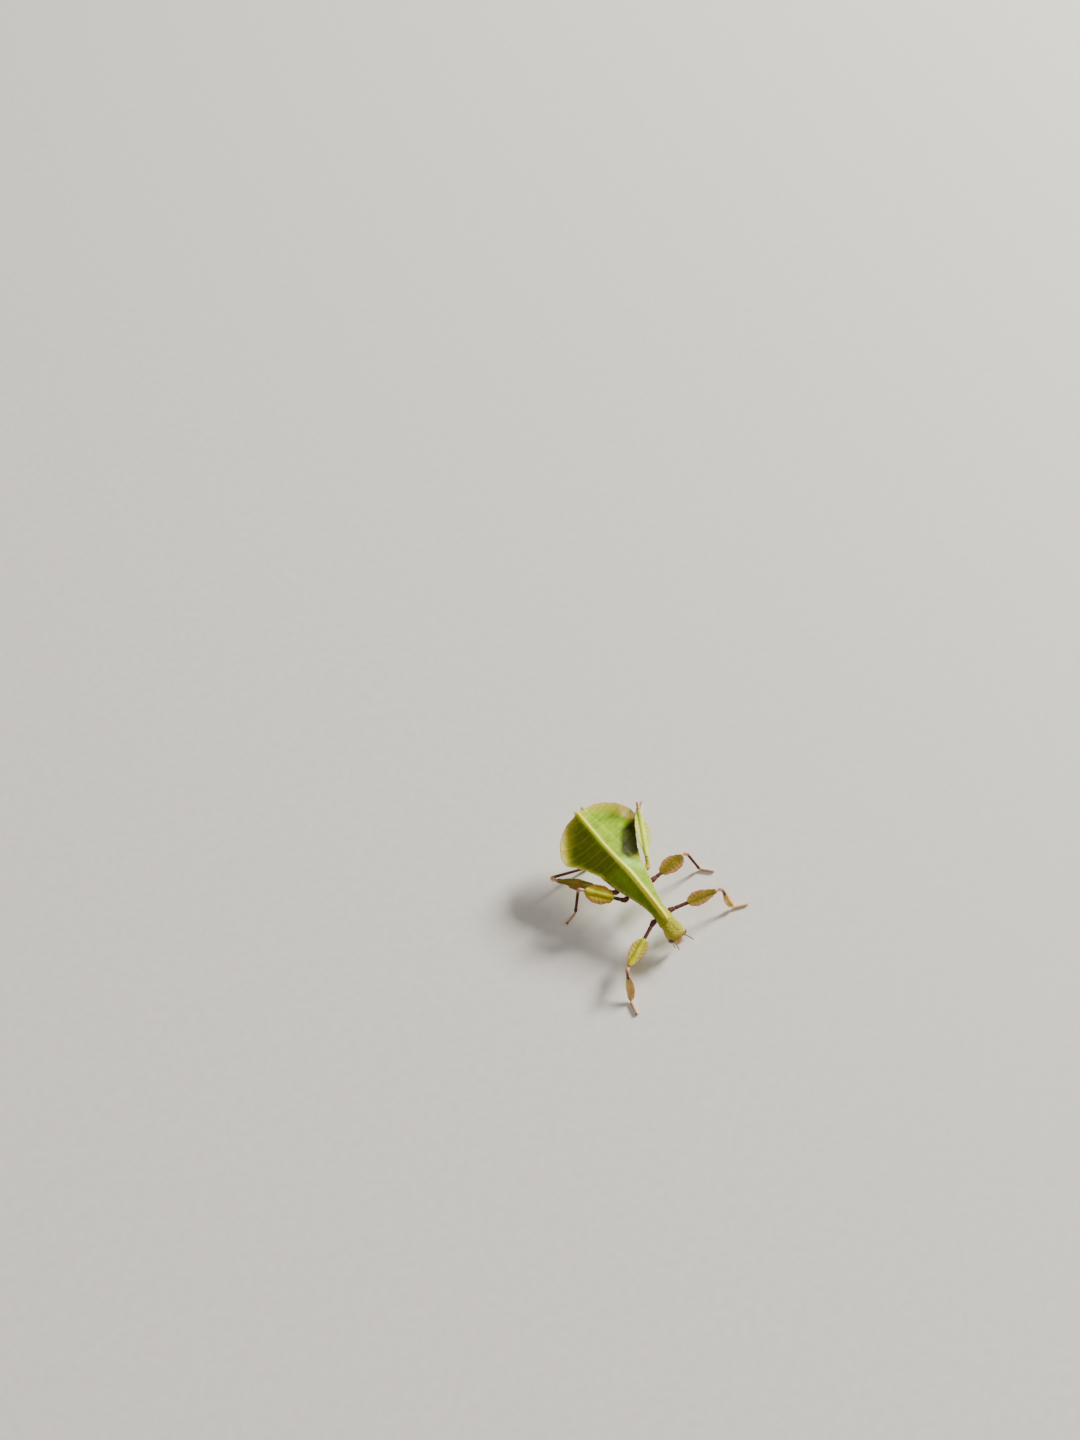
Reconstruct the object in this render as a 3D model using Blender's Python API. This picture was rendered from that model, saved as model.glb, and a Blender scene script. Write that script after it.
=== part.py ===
"""Young leaf insect standing on six feet: a still, life-size model.

Metres, +Z up. The insect faces -Y, its left side is +X, and its soles are at Z = 0.
Every piece is lofted from rings of points. The body is one long form parted by thin
cuts across it, and each leg is one bent path parted square to itself at its joints.
"""

import math

import bmesh
import bpy
import numpy as np
from mathutils import Vector

MM = 0.001
JOINT_GAP = 0.25 * MM

# Line of the back: heights above the floor of its ridge at three places along Y
HEAD_Y = -7.20 * MM
WAIST_Y = 0.5 * MM
TAIL_Y = 9.30 * MM
HEAD_RIDGE_Z = 2.50 * MM
WAIST_RIDGE_Z = 4.75 * MM
TAIL_RIDGE_Z = 5.40 * MM
# The abdomen bends to the left and leans to the right over a short length
ABDOMEN_YAW = math.radians(3.5)
ABDOMEN_ROLL = math.radians(5.0)
TURN_LENGTH = 3.0 * MM

# Where the body is cut into head, thorax parts and abdomen
NECK_Y = -5.35 * MM
PROTHORAX_END_Y = -3.70 * MM
MESOTHORAX_END_Y = -0.65 * MM
METATHORAX_END_Y = 1.20 * MM

# Outline of the body from above, head to waist: (y, half width)
BODY_OUTLINE = (
    (-7.20 * MM, 0.42 * MM),
    (-6.95 * MM, 0.82 * MM),
    (-6.25 * MM, 1.12 * MM),
    (-5.60 * MM, 0.93 * MM),
    (-5.10 * MM, 0.90 * MM),
    (-4.00 * MM, 0.82 * MM),
    (-3.20 * MM, 0.88 * MM),
    (-2.30 * MM, 1.08 * MM),
    (-1.30 * MM, 1.40 * MM),
    (-0.30 * MM, 1.75 * MM),
    (1.20 * MM, 2.20 * MM),
)
# Depth of the body below its ridge, head to waist: (y, depth)
BODY_DEPTH = (
    (-7.20 * MM, 0.72 * MM),
    (-6.85 * MM, 1.10 * MM),
    (-6.20 * MM, 1.32 * MM),
    (-5.30 * MM, 1.10 * MM),
    (-4.00 * MM, 1.15 * MM),
    (-1.30 * MM, 1.40 * MM),
    (1.20 * MM, 1.55 * MM),
)
# Outline of the leaf-shaped abdomen from above, waist to tail: (half width, y)
ABDOMEN_OUTLINE = (
    (2.22 * MM, 1.45 * MM),
    (2.90 * MM, 3.00 * MM),
    (3.75 * MM, 4.40 * MM),
    (4.70 * MM, 5.80 * MM),
    (4.45 * MM, 7.00 * MM),
    (3.60 * MM, 8.15 * MM),
    (2.15 * MM, 9.05 * MM),
    (0.85 * MM, 9.30 * MM),
)
# Half width and depth of the abdomen's thick middle at waist, mid-length and tail
ABDOMEN_CORE = (1.85 * MM, 1.60 * MM, 0.87 * MM)
ABDOMEN_DEPTH = (1.55 * MM, 1.30 * MM, 0.80 * MM)
ABDOMEN_SEGMENTS = 8
RINGS_PER_SEGMENT = 4
CORE_OVERHANG = 1.02
# Thickness of the body's thin margin, its droop and upturn as shares of half width, and
# the share of the half width where the upturn begins
LAMINA = 0.50 * MM
LAMINA_DROOP = 0.30
LAMINA_CURL = 0.17
CURL_START = 0.60
# Exponents of the droop, the round rim, the swollen core and the swept margins
DROOP_POWER = 1.3
RIM_POWER = 6
SWELL_POWER = 0.75
SWEEP_POWER = 1.5
# Share of the swollen core that lies above the middle surface
SWELL_ABOVE = 0.15
# How far the points across the body crowd towards its margins, from 0 to 1
EDGE_CROWDING = 0.45
# Rings over which the abdomen changes from full core to thin margins
OPENING_RINGS = 3
VEIN_HEIGHT = 0.09 * MM
RIDGE_HEIGHT = 0.16 * MM
RIDGE_WIDTH = 0.30 * MM
# How far to the right of its middle the abdomen's ridge lies, and where along Y it gets there
RIDGE_TO_RIGHT = 0.42 * MM
RIDGE_SHIFT_SPAN = (0.5 * MM, 5.0 * MM)

EYE_RADIUS = 0.36 * MM
EYE_Y = -6.75 * MM
EYE_ABOVE_SIDE = math.radians(16)
EYE_SUNK = 0.12 * MM
EYE_GAP = 0.20 * MM

ANTENNA_Y = -7.08 * MM
ANTENNA_ABOVE_SIDE = math.radians(15)
ANTENNA_SPREAD = 0.30
ANTENNA_LENGTH = 1.05 * MM
ANTENNA_RADIUS = 0.24 * MM
ANTENNA_TAPER = 0.35
ANTENNA_BEADS = 5
RINGS_PER_BEAD = 4
BEAD_WAIST = 0.10
MOUTH_Y = -6.95 * MM
MOUTH_LEAN = 0.35
MOUTH_HALF_WIDTH = 0.42 * MM
MOUTH_DEPTH = 0.55 * MM
MOUTH_LENGTH = 0.55 * MM
MOUTH_TAPER = 0.45
CERCUS_OFFSET = 0.40 * MM
CERCUS_LENGTH = 0.45 * MM
CERCUS_HALF_WIDTH = 0.26 * MM
CERCUS_TAPER = 0.5

LIMB_RADIUS = 0.25 * MM
COXA_RADIUS = 0.30 * MM
FEMUR_THICKNESS = 0.56 * MM
FEMUR_MIDRIB = 0.12 * MM
LENS_POWER = 0.7
# Where the shin's lobe starts and ends along it, and its rear width as a share of its front
SHIN_LOBE_SPAN = (0.21, 1.04)
SHIN_REAR_SHARE = 0.5
BEND_RADIUS = 0.32 * MM
BEND_START = 0.05 * MM
BEND_FACET = math.radians(24)
HEEL_Z = 0.18 * MM
TARSUS_PADS = 4
PAD_WAIST = 0.10

# Sizes that a pair of legs shares: where it grows, lengths (the shin's from knee to
# heel), lobe half widths in front of and behind the femur, and the lobe on the shin
LEG_SIZES = {
    "front": dict(y=-4.35 * MM, coxa=0.75 * MM, femur=4.35 * MM, shin=3.10 * MM, tarsus=1.6 * MM,
                  front_lobe=0.95 * MM, rear_lobe=0.88 * MM, shin_lobe=0.42 * MM),
    "mid": dict(y=-0.85 * MM, coxa=0.75 * MM, femur=3.25 * MM, shin=3.60 * MM, tarsus=1.6 * MM,
                front_lobe=1.04 * MM, rear_lobe=0.96 * MM, shin_lobe=0.0),
    "hind": dict(y=0.55 * MM, coxa=0.75 * MM, femur=5.45 * MM, shin=5.20 * MM, tarsus=1.8 * MM,
                 front_lobe=0.92 * MM, rear_lobe=0.80 * MM, shin_lobe=0.0),
}
# Outline of the front and the rear lobe along the femur: (share of length, of half width)
LOBE_STOPS = {
    "front": (((0, 0), (0.20, 0), (0.30, 0.72), (0.42, 1), (0.60, 0.95), (0.80, 0.62), (0.94, 0.34), (1, 0)),
              ((0, 0), (0.20, 0), (0.32, 0.70), (0.46, 1), (0.64, 0.96), (0.84, 0.62), (0.95, 0.34), (1, 0))),
    "mid": (((0, 0), (0.16, 0.66), (0.44, 1), (0.68, 0.98), (0.86, 0.70), (0.96, 0.38), (1, 0)),
            ((0, 0), (0.16, 0.66), (0.42, 1), (0.66, 0.96), (0.86, 0.66), (0.96, 0.36), (1, 0))),
    "hind": (((0, 0.12), (0.12, 0.42), (0.38, 0.90), (0.56, 1), (0.68, 0.86), (0.76, 0.46), (0.90, 0.30), (1, 0)),
             ((0, 0.12), (0.12, 0.36), (0.40, 0.86), (0.62, 1), (0.80, 0.80), (0.92, 0.44), (1, 0))),
}
# Pose of each leg in degrees. root is how far below its side it grows. Azimuths are
# measured forward from straight out to the side, the femur's second angle is its rise,
# and tilt lifts the femur's front lobe.
LEG_POSE = {
    ("front", "left"): dict(root=12, femur=(15, 2), shin=66, tarsus=25, tilt=12),
    ("front", "right"): dict(root=12, femur=(22, -6), shin=60, tarsus=72, tilt=12),
    ("mid", "left"): dict(root=12, femur=(-2, 2), shin=42, tarsus=50, tilt=10),
    ("mid", "right"): dict(root=30, femur=(-51, 6), shin=35, tarsus=15, tilt=-20),
    ("hind", "left"): dict(root=8, femur=(-59, 15), shin=-37, tarsus=-37, tilt=-25),
    ("hind", "right"): dict(root=60, femur=(-57, -8), shin=168, tarsus=-150, tilt=6),
}

ACROSS_STEPS = 20
LIMB_SIDES = 8
LOBE_SIDES = 12
FEMUR_RINGS = 13
SHIN_RINGS = 6
CAP_RINGS = 5


def material(name, colour, roughness):
    """A matt or glossy skin of one colour."""
    made = bpy.data.materials.new(name)
    made.use_nodes = True
    shader = made.node_tree.nodes["Principled BSDF"]
    shader.inputs["Base Color"].default_value = (*colour, 1.0)
    shader.inputs["Roughness"].default_value = roughness
    shader.inputs["Metallic"].default_value = 0.0
    return made


def curve_through(knots, count):
    """Points spaced evenly by length along a smooth curve through the knots."""
    knots = np.asarray(knots, float)
    padded = np.vstack([2 * knots[0] - knots[1], knots, 2 * knots[-1] - knots[-2]])
    share = np.linspace(0, 1, 24, endpoint=False)[:, None]
    stretches = []
    for before, here, there, after in zip(padded, padded[1:], padded[2:], padded[3:]):
        stretches.append(0.5 * (2 * here + (there - before) * share
                                + (2 * before - 5 * here + 4 * there - after) * share ** 2
                                + (3 * here - before - 3 * there + after) * share ** 3))
    fine = np.vstack(stretches + [knots[-1:]])
    run = np.concatenate([[0], np.cumsum(np.linalg.norm(np.diff(fine, axis=0), axis=1))])
    wanted = np.linspace(0, run[-1], count)
    return np.stack([np.interp(wanted, run, column) for column in fine.T], -1)


BODY_WIDTHS = curve_through(BODY_OUTLINE, 160)
BODY_DEPTHS = curve_through(BODY_DEPTH, 160)
RIDGE_CURVE = np.polyfit((HEAD_Y / MM, WAIST_Y / MM, TAIL_Y / MM),
                         (HEAD_RIDGE_Z / MM, WAIST_RIDGE_Z / MM, TAIL_RIDGE_Z / MM), 2)


def ridge_height(y):
    """Height of the back's ridge: the parabola through head, waist and tail."""
    return np.polyval(RIDGE_CURVE, np.asarray(y) / MM) * MM


def eased(share):
    """An S-shaped step: 0 below 0, 1 above 1, and level at both."""
    share = np.clip(share, 0, 1)
    return share * share * (3 - 2 * share)


def stepped(place, stops):
    """Values that ease from stop to stop along a line. Each stop is (place, value)."""
    places, values = np.array(stops).T
    which = np.clip(np.searchsorted(places, place) - 1, 0, len(places) - 2)
    share = eased((place - places[which]) / (places[which + 1] - places[which]))
    return values[which] + (values[which + 1] - values[which]) * share


def turned(points):
    """Bends points behind the waist to the left and rolls them about the ridge."""
    x, y, z = np.asarray(points, float).T
    past = np.maximum(y - METATHORAX_END_Y, 0)
    bent = eased(past / TURN_LENGTH)
    roll = ABDOMEN_ROLL * bent
    axis = ridge_height(y)
    below = z - axis
    aside = x * np.cos(roll) - below * np.sin(roll) + math.tan(ABDOMEN_YAW) * past * bent
    return np.stack([aside, y, axis + x * np.sin(roll) + below * np.cos(roll)], -1)


def body_ring(y, half_width, depth, core, curl, swept_back):
    """One ring across the body: the top from right to left, then the underside back.

    The middle surface droops from the ridge and turns up at the margin. The thin margin
    has an even thickness and round edge, and the core within it swells below and above.
    swept_back is how far behind the middle the margins lie. The abdomen's ridge is
    carried to the right, by less and less towards the margins.
    """
    even = np.linspace(-1, 1, ACROSS_STEPS + 1)
    across = (1 - EDGE_CROWDING) * even + EDGE_CROWDING * np.sin(even * math.pi / 2)
    far = np.abs(across)
    x = across * half_width
    upturn = curl * np.clip((far - CURL_START) / (1 - CURL_START), 0, 1) ** 2
    middle = half_width * (upturn - LAMINA_DROOP * far ** DROOP_POWER)
    rim = LAMINA / 2 * np.sqrt(np.clip(1 - far ** RIM_POWER, 0, 1))
    swell = (depth - LAMINA) * np.clip(1 - (x / core) ** 2, 0, 1) ** SWELL_POWER
    crest = RIDGE_HEIGHT * np.exp(-(x / RIDGE_WIDTH) ** 2)
    upper = middle + rim + SWELL_ABOVE * swell + crest
    lower = middle - rim - (1 - SWELL_ABOVE) * swell
    z = ridge_height(y) - upper.max()
    places = y + swept_back * far ** SWEEP_POWER
    first, last = RIDGE_SHIFT_SPAN
    x = x - RIDGE_TO_RIGHT * eased((y - first) / (last - first)) * (1 - far ** 2)
    top = np.stack([x, places, z + upper], -1)
    under = np.stack([x, places, z + lower], -1)
    return np.vstack([top, under[::-1][1:-1]])


def loft(name, rings, surface, root, vane_split=None):
    """A closed body through the rings, with a fan over each end and its origin at root.

    From the ring index vane_split on, the quads are split by their other diagonal, so
    that both faces of a thin vane have the same triangles.
    """
    root = Vector(root)
    count = len(rings[0])
    mesh = bmesh.new()
    verts = [[mesh.verts.new(Vector(point) - root) for point in ring] for ring in rings]
    for here, there in zip(verts, verts[1:]):
        for side in range(count):
            after = (side + 1) % count
            corners = (here[side], here[after], there[after], there[side])
            if vane_split is not None and side >= vane_split:
                corners = corners[1:] + corners[:1]
            mesh.faces.new((corners[0], corners[1], corners[2]))
            mesh.faces.new((corners[0], corners[2], corners[3]))
    for ring, points in ((verts[0], rings[0]), (verts[-1], rings[-1])):
        centre = mesh.verts.new(Vector(points.mean(axis=0)) - root)
        for side in range(count):
            mesh.faces.new((ring[side], centre, ring[(side + 1) % count]))
    bmesh.ops.recalc_face_normals(mesh, faces=mesh.faces)
    data = bpy.data.meshes.new(name)
    mesh.to_mesh(data)
    mesh.free()
    data.shade_smooth()
    data.set_sharp_from_angle(angle=math.radians(50))
    data.materials.append(surface)
    piece = bpy.data.objects.new(name, data)
    bpy.context.collection.objects.link(piece)
    piece.location = root
    return piece


def trunk_ring(y):
    """The ring of head or thorax at y, where the core fills the whole width."""
    half_width = np.interp(y, *BODY_WIDTHS.T)
    depth = np.interp(y, *BODY_DEPTHS.T)
    return body_ring(y, half_width, depth, half_width * CORE_OVERHANG, 0.0, 0.0)


def trunk_piece(name, start, end, count, surface):
    """A length of head or thorax between two cuts."""
    rings = [trunk_ring(y) for y in np.linspace(start, end, count)]
    return loft(name, rings, surface, (0, start, float(ridge_height(start))), ACROSS_STEPS)


def abdomen(surface):
    """Leaf-shaped abdomen: thick middle, thin margins, a ridge and slanting veins."""
    last = ABDOMEN_SEGMENTS * RINGS_PER_SEGMENT
    start = METATHORAX_END_Y + JOINT_GAP
    margin = curve_through(ABDOMEN_OUTLINE, last + 1)
    middle = np.linspace(start, TAIL_Y, last + 1)
    rings = []
    for step, (half_width, margin_y) in enumerate(margin):
        share = step / last
        opened = min(1.0, step / OPENING_RINGS)
        core = np.interp(share, (0, 0.5, 1), ABDOMEN_CORE)
        core = core * opened + half_width * CORE_OVERHANG * (1 - opened)
        depth = np.interp(share, (0, 0.5, 1), ABDOMEN_DEPTH)
        swept_back = 0.0 if step in (0, last) else margin_y - middle[step]
        ring = body_ring(middle[step], half_width, depth, core, LAMINA_CURL * opened, swept_back)
        if step % RINGS_PER_SEGMENT == 0 and 0 < step < last:
            ring[2:ACROSS_STEPS - 1, 2] += VEIN_HEIGHT
        rings.append(turned(ring))
    return loft("abdomen", rings, surface, (0, start, float(ridge_height(start))), ACROSS_STEPS)


def direction(azimuth, elevation):
    """Unit vector on the left side: azimuth turns forward, elevation up, in degrees."""
    turn = math.radians(azimuth)
    rise = math.radians(elevation)
    return np.array([math.cos(turn) * math.cos(rise), -math.sin(turn) * math.cos(rise), math.sin(rise)])


def flank(y, above):
    """The point of the left side at y where the skin faces outward and up by an angle."""
    ring = trunk_ring(y)
    following = np.roll(ring, -1, axis=0)
    edge = following - ring
    facing = np.arctan2(edge[:, 0], -edge[:, 2])
    aim = facing - above
    aim = np.abs((aim + math.pi) % (2 * math.pi) - math.pi)
    right = (ring[:, 0] + following[:, 0]) <= 0
    aim[right] = math.inf
    best = int(np.argmin(aim))
    normal = np.array([-edge[best, 2], 0, edge[best, 0]])
    return (ring[best] + following[best]) / 2, normal / np.linalg.norm(normal)


def corner_length(into, out):
    """How far from the corner between two directions a round bend begins."""
    return BEND_RADIUS * math.tan(math.acos(np.clip(into @ out, -1, 1)) / 2)


def bend(start, corner, end, straight):
    """Points along two straight lines with an arc between them, then the second line."""
    into = (corner - start) / np.linalg.norm(corner - start)
    out = (end - corner) / np.linalg.norm(end - corner)
    angle = math.acos(np.clip(into @ out, -1, 1))
    inward = out - into * (into @ out)
    inward = inward / max(np.linalg.norm(inward), 1e-9)
    turn = np.linspace(0, angle, max(1, math.ceil(angle / BEND_FACET)) + 1)[:, None]
    first = corner - into * corner_length(into, out)
    arc = first + BEND_RADIUS * (np.sin(turn) * into + (1 - np.cos(turn)) * inward)
    rest = arc[-1] + (end - arc[-1]) * np.linspace(0, 1, straight + 1)[1:, None]
    return np.vstack([start, arc, rest])


def swept(path, aside, front, rear, thickness, sides, midrib=0.0, first_corner=0.0):
    """Rings square to a path, from half widths in front and behind and a thickness.

    aside points to the front lobe and is carried along the path without twist. A midrib
    raises the middle of both faces. first_corner turns the ring's corners, so that a
    round piece can have a flat underneath.
    """
    tangent = np.gradient(path, axis=0)
    turn = first_corner + np.linspace(0, math.tau, sides, endpoint=False)
    wide = np.asarray(aside, float)
    rings = []
    for place, along, ahead, behind, thick in zip(path, tangent, front, rear, thickness):
        along = along / np.linalg.norm(along)
        wide = wide - along * (wide @ along)
        wide = wide / np.linalg.norm(wide)
        up = np.cross(along, wide)
        reach = np.where(np.cos(turn) > 0, ahead, behind) * np.cos(turn)
        lift = thick / 2 * np.sign(np.sin(turn)) * np.abs(np.sin(turn)) ** LENS_POWER
        crest = midrib * np.sin(turn) * np.exp(-(reach / RIDGE_WIDTH) ** 2)
        rings.append(place + np.outer(reach, wide) + np.outer(lift + crest, up))
    return rings


def on_side(points, side):
    """Points of the left side, or their mirror image for the right."""
    return points if side == "left" else points * np.array([-1, 1, 1])


def shin_way(knee, femur_way, sizes, pose):
    """Direction of the shin and its knee corner, for a heel on the floor."""
    corner = knee + femur_way * JOINT_GAP
    way = femur_way
    for _ in range(6):
        corner = knee + femur_way * (JOINT_GAP + BEND_START + corner_length(femur_way, way))
        fall = math.asin(min(0.995, (corner[2] - HEEL_Z) / sizes["shin"]))
        way = direction(pose["shin"], -math.degrees(fall))
    return way, corner


def leg(pair, side, flesh, dark):
    """Coxa, femur, tibia and tarsus of one leg, each cut square to the leg's line.

    The coxa grows square from the flank and bends into the femur's direction. The femur
    is straight, with a leaf-shaped lobe on each edge. The tibia bends down at the knee.
    The tarsus bends level at the heel, is swept from its toe so that its sole stays
    level, and is flattened underneath at the floor.
    """
    sizes = LEG_SIZES[pair]
    pose = LEG_POSE[pair, side]
    surface_point, outward = flank(sizes["y"], -math.radians(pose["root"]))
    root = surface_point + outward * JOINT_GAP
    femur_way = direction(*pose["femur"])
    knuckle = root + outward * (BEND_START + corner_length(outward, femur_way))
    hip = knuckle + femur_way * (sizes["coxa"] - BEND_START)
    femur_start = hip + femur_way * JOINT_GAP
    knee = femur_start + femur_way * sizes["femur"]
    down_way, elbow = shin_way(knee, femur_way, sizes, pose)
    heel = elbow + down_way * sizes["shin"]
    tarsus_way = direction(pose["tarsus"], 0)
    toe = heel + tarsus_way * sizes["tarsus"]
    ankle = heel - down_way * (corner_length(down_way, tarsus_way) + BEND_START)
    tilt = math.radians(pose["tilt"])
    level = np.cross(direction(pose["femur"][0], 0), (0, 0, 1))
    aside = level * math.cos(tilt) + np.array([0, 0, math.sin(tilt)])

    path = bend(root, knuckle, hip, 1)
    thick = np.linspace(COXA_RADIUS, LIMB_RADIUS, len(path))
    coxa_rings = swept(path, aside, thick, thick, thick * 2, LIMB_SIDES)

    run = np.linspace(0, 1, FEMUR_RINGS)
    path = femur_start + np.outer(run, knee - femur_start)
    front_stops, rear_stops = LOBE_STOPS[pair]
    front = np.maximum(LIMB_RADIUS, sizes["front_lobe"] * stepped(run, front_stops))
    rear = np.maximum(LIMB_RADIUS, sizes["rear_lobe"] * stepped(run, rear_stops))
    thick = np.full(FEMUR_RINGS, FEMUR_THICKNESS)
    femur_rings = swept(path, aside, front, rear, thick, LOBE_SIDES, FEMUR_MIDRIB)

    path = bend(knee + femur_way * JOINT_GAP, elbow, ankle - down_way * JOINT_GAP, SHIN_RINGS)
    run = np.linspace(0, 1, len(path))
    lobe = np.clip(np.interp(run, SHIN_LOBE_SPAN, (0, 1)), 0, 1)
    shin = sizes["shin_lobe"] * np.sin(math.pi * lobe)
    front = LIMB_RADIUS + shin
    rear = LIMB_RADIUS + shin * SHIN_REAR_SHARE
    thick = np.full(len(path), LIMB_RADIUS * 2)
    tibia_rings = swept(path, aside, front, rear, thick, LIMB_SIDES)

    path = bend(ankle, heel, toe, TARSUS_PADS * 2)[::-1]
    run = np.linspace(0, 1, len(path))
    pads = LIMB_RADIUS * (1 - PAD_WAIST * (1 - np.cos(run * math.tau * TARSUS_PADS)))
    sole = np.cross(tarsus_way, (0, 0, 1))
    tarsus_rings = swept(path, sole, pads, pads, pads * 2, LIMB_SIDES, 0.0, math.pi / LIMB_SIDES)[::-1]
    for ring in tarsus_rings:
        ring[:, 2] = np.maximum(ring[:, 2], 0)

    pieces = []
    for part, rings, surface, vane_split in (
            ("coxa", coxa_rings, dark, None),
            ("femur", femur_rings, flesh, LOBE_SIDES // 2),
            ("tibia", tibia_rings, dark, LIMB_SIDES // 2),
            ("tarsus", tarsus_rings, flesh, None)):
        rings = [on_side(ring, side) for ring in rings]
        origin = rings[0].mean(axis=0)
        pieces.append(loft(f"{pair}_{side}_{part}", rings, surface, origin, vane_split))
    return pieces


def antenna(side, surface):
    """Short feeler of a few beads, from the front corner of the head."""
    start, outward = flank(ANTENNA_Y, ANTENNA_ABOVE_SIDE)
    way = outward * ANTENNA_SPREAD + np.array([0.0, -1.0, 0.0])
    way = way / np.linalg.norm(way)
    run = np.linspace(0, 1, ANTENNA_BEADS * RINGS_PER_BEAD + 1)
    path = start + way * JOINT_GAP + np.outer(run * ANTENNA_LENGTH, way)
    beads = 1 - BEAD_WAIST * (1 + np.cos(run * math.tau * ANTENNA_BEADS))
    beads = beads * ANTENNA_RADIUS * (1 - ANTENNA_TAPER * run)
    rings = swept(path, np.array([0.0, 0.0, 1.0]), beads, beads, beads * 2, LIMB_SIDES)
    rings = [on_side(ring, side) for ring in rings]
    return loft(f"antenna_{side}", rings, surface, rings[0].mean(axis=0))


def eye_centre(side):
    """Centre of an eye: on the head's side, sunk a little into it."""
    point, outward = flank(EYE_Y, EYE_ABOVE_SIDE)
    return on_side(point - outward * EYE_SUNK, side)


def ball(name, radius, place, surface):
    """A round bead of fine facets."""
    mesh = bmesh.new()
    bmesh.ops.create_icosphere(mesh, subdivisions=2, radius=radius)
    data = bpy.data.meshes.new(name)
    mesh.to_mesh(data)
    mesh.free()
    data.shade_smooth()
    data.materials.append(surface)
    piece = bpy.data.objects.new(name, data)
    bpy.context.collection.objects.link(piece)
    piece.location = place
    return piece


def head(surface, inside):
    """Rounded head with a pocket on each side for an eye."""
    piece = trunk_piece("head", HEAD_Y, NECK_Y - JOINT_GAP / 2, 14, surface)
    cutters = []
    for side in ("left", "right"):
        cutter = ball(f"eye_pocket_{side}", EYE_RADIUS + EYE_GAP, eye_centre(side), inside)
        cutter.hide_render = True
        cutter.display_type = "WIRE"
        cut = piece.modifiers.new(f"pocket_{side}", "BOOLEAN")
        cut.operation = "DIFFERENCE"
        cut.object = cutter
        cutters.append(cutter)
    return [piece] + cutters


def mouthparts(surface):
    """Short blunt mouth hanging under the front of the head."""
    ring = trunk_ring(MOUTH_Y)
    chin = np.array([0.0, MOUTH_Y, ring[:, 2].min()])
    down = np.array([0.0, -MOUTH_LEAN, -1.0])
    down = down / np.linalg.norm(down)
    run = np.linspace(0, 1, CAP_RINGS)
    path = chin + down * JOINT_GAP + np.outer(run * MOUTH_LENGTH, down)
    wide = MOUTH_HALF_WIDTH * (1 - MOUTH_TAPER * run ** 2)
    deep = MOUTH_DEPTH * (1 - MOUTH_TAPER * run)
    rings = swept(path, np.array([1.0, 0.0, 0.0]), wide, wide, deep, LIMB_SIDES)
    return loft("mouthparts", rings, surface, rings[0].mean(axis=0))


def cercus(side, surface):
    """Small flat leaf at the tail, beside its twin."""
    run = np.linspace(0, 1, CAP_RINGS)
    y = TAIL_Y + JOINT_GAP + run * CERCUS_LENGTH
    z = ridge_height(y) - ABDOMEN_DEPTH[-1] / 2
    path = np.stack([np.full(CAP_RINGS, CERCUS_OFFSET), y, z], -1)
    wide = CERCUS_HALF_WIDTH * (1 - CERCUS_TAPER * run ** 2)
    thick = np.full(CAP_RINGS, LAMINA)
    rings = swept(path, np.array([1.0, 0.0, 0.0]), wide, wide, thick, LIMB_SIDES)
    rings = [turned(on_side(ring, side)) for ring in rings]
    return loft(f"cercus_{side}", rings, surface, rings[0].mean(axis=0))


def centre_on_floor(insect, pieces):
    """Moves the whole insect so that the middle of its box is over the origin."""
    corners = np.array([piece.location + Vector(corner) for piece in pieces for corner in piece.bound_box])
    middle = (corners.min(axis=0) + corners.max(axis=0)) / 2
    insect.location = (-middle[0], -middle[1], 0.0)


def main():
    """Builds every piece, joins them to one empty and stands them on the floor."""
    for thing in list(bpy.data.objects):
        bpy.data.objects.remove(thing)
    leaf_green = material("leaf_green", (0.46, 0.62, 0.12), 0.45)
    olive = material("olive_green", (0.36, 0.38, 0.05), 0.50)
    brown = material("red_brown", (0.12, 0.04, 0.03), 0.40)
    tan = material("pale_tan", (0.60, 0.34, 0.24), 0.50)
    dark = material("eye_brown", (0.10, 0.05, 0.02), 0.15)
    half_gap = JOINT_GAP / 2

    pieces = head(leaf_green, dark)
    pieces += [
        trunk_piece("prothorax", NECK_Y + half_gap, PROTHORAX_END_Y - half_gap, 8, leaf_green),
        trunk_piece("mesothorax", PROTHORAX_END_Y + half_gap, MESOTHORAX_END_Y - half_gap, 12, leaf_green),
        trunk_piece("metathorax", MESOTHORAX_END_Y + half_gap, METATHORAX_END_Y, 8, leaf_green),
        abdomen(leaf_green),
        mouthparts(tan),
    ]
    for side in ("left", "right"):
        pieces.append(ball(f"eye_{side}", EYE_RADIUS, eye_centre(side), dark))
        pieces.append(antenna(side, tan))
        pieces.append(cercus(side, tan))
        for pair in LEG_SIZES:
            pieces += leg(pair, side, olive, brown)

    insect = bpy.data.objects.new("leaf_insect", None)
    bpy.context.collection.objects.link(insect)
    for piece in pieces:
        piece.parent = insect
    centre_on_floor(insect, pieces)


main()
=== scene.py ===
import math

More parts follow.
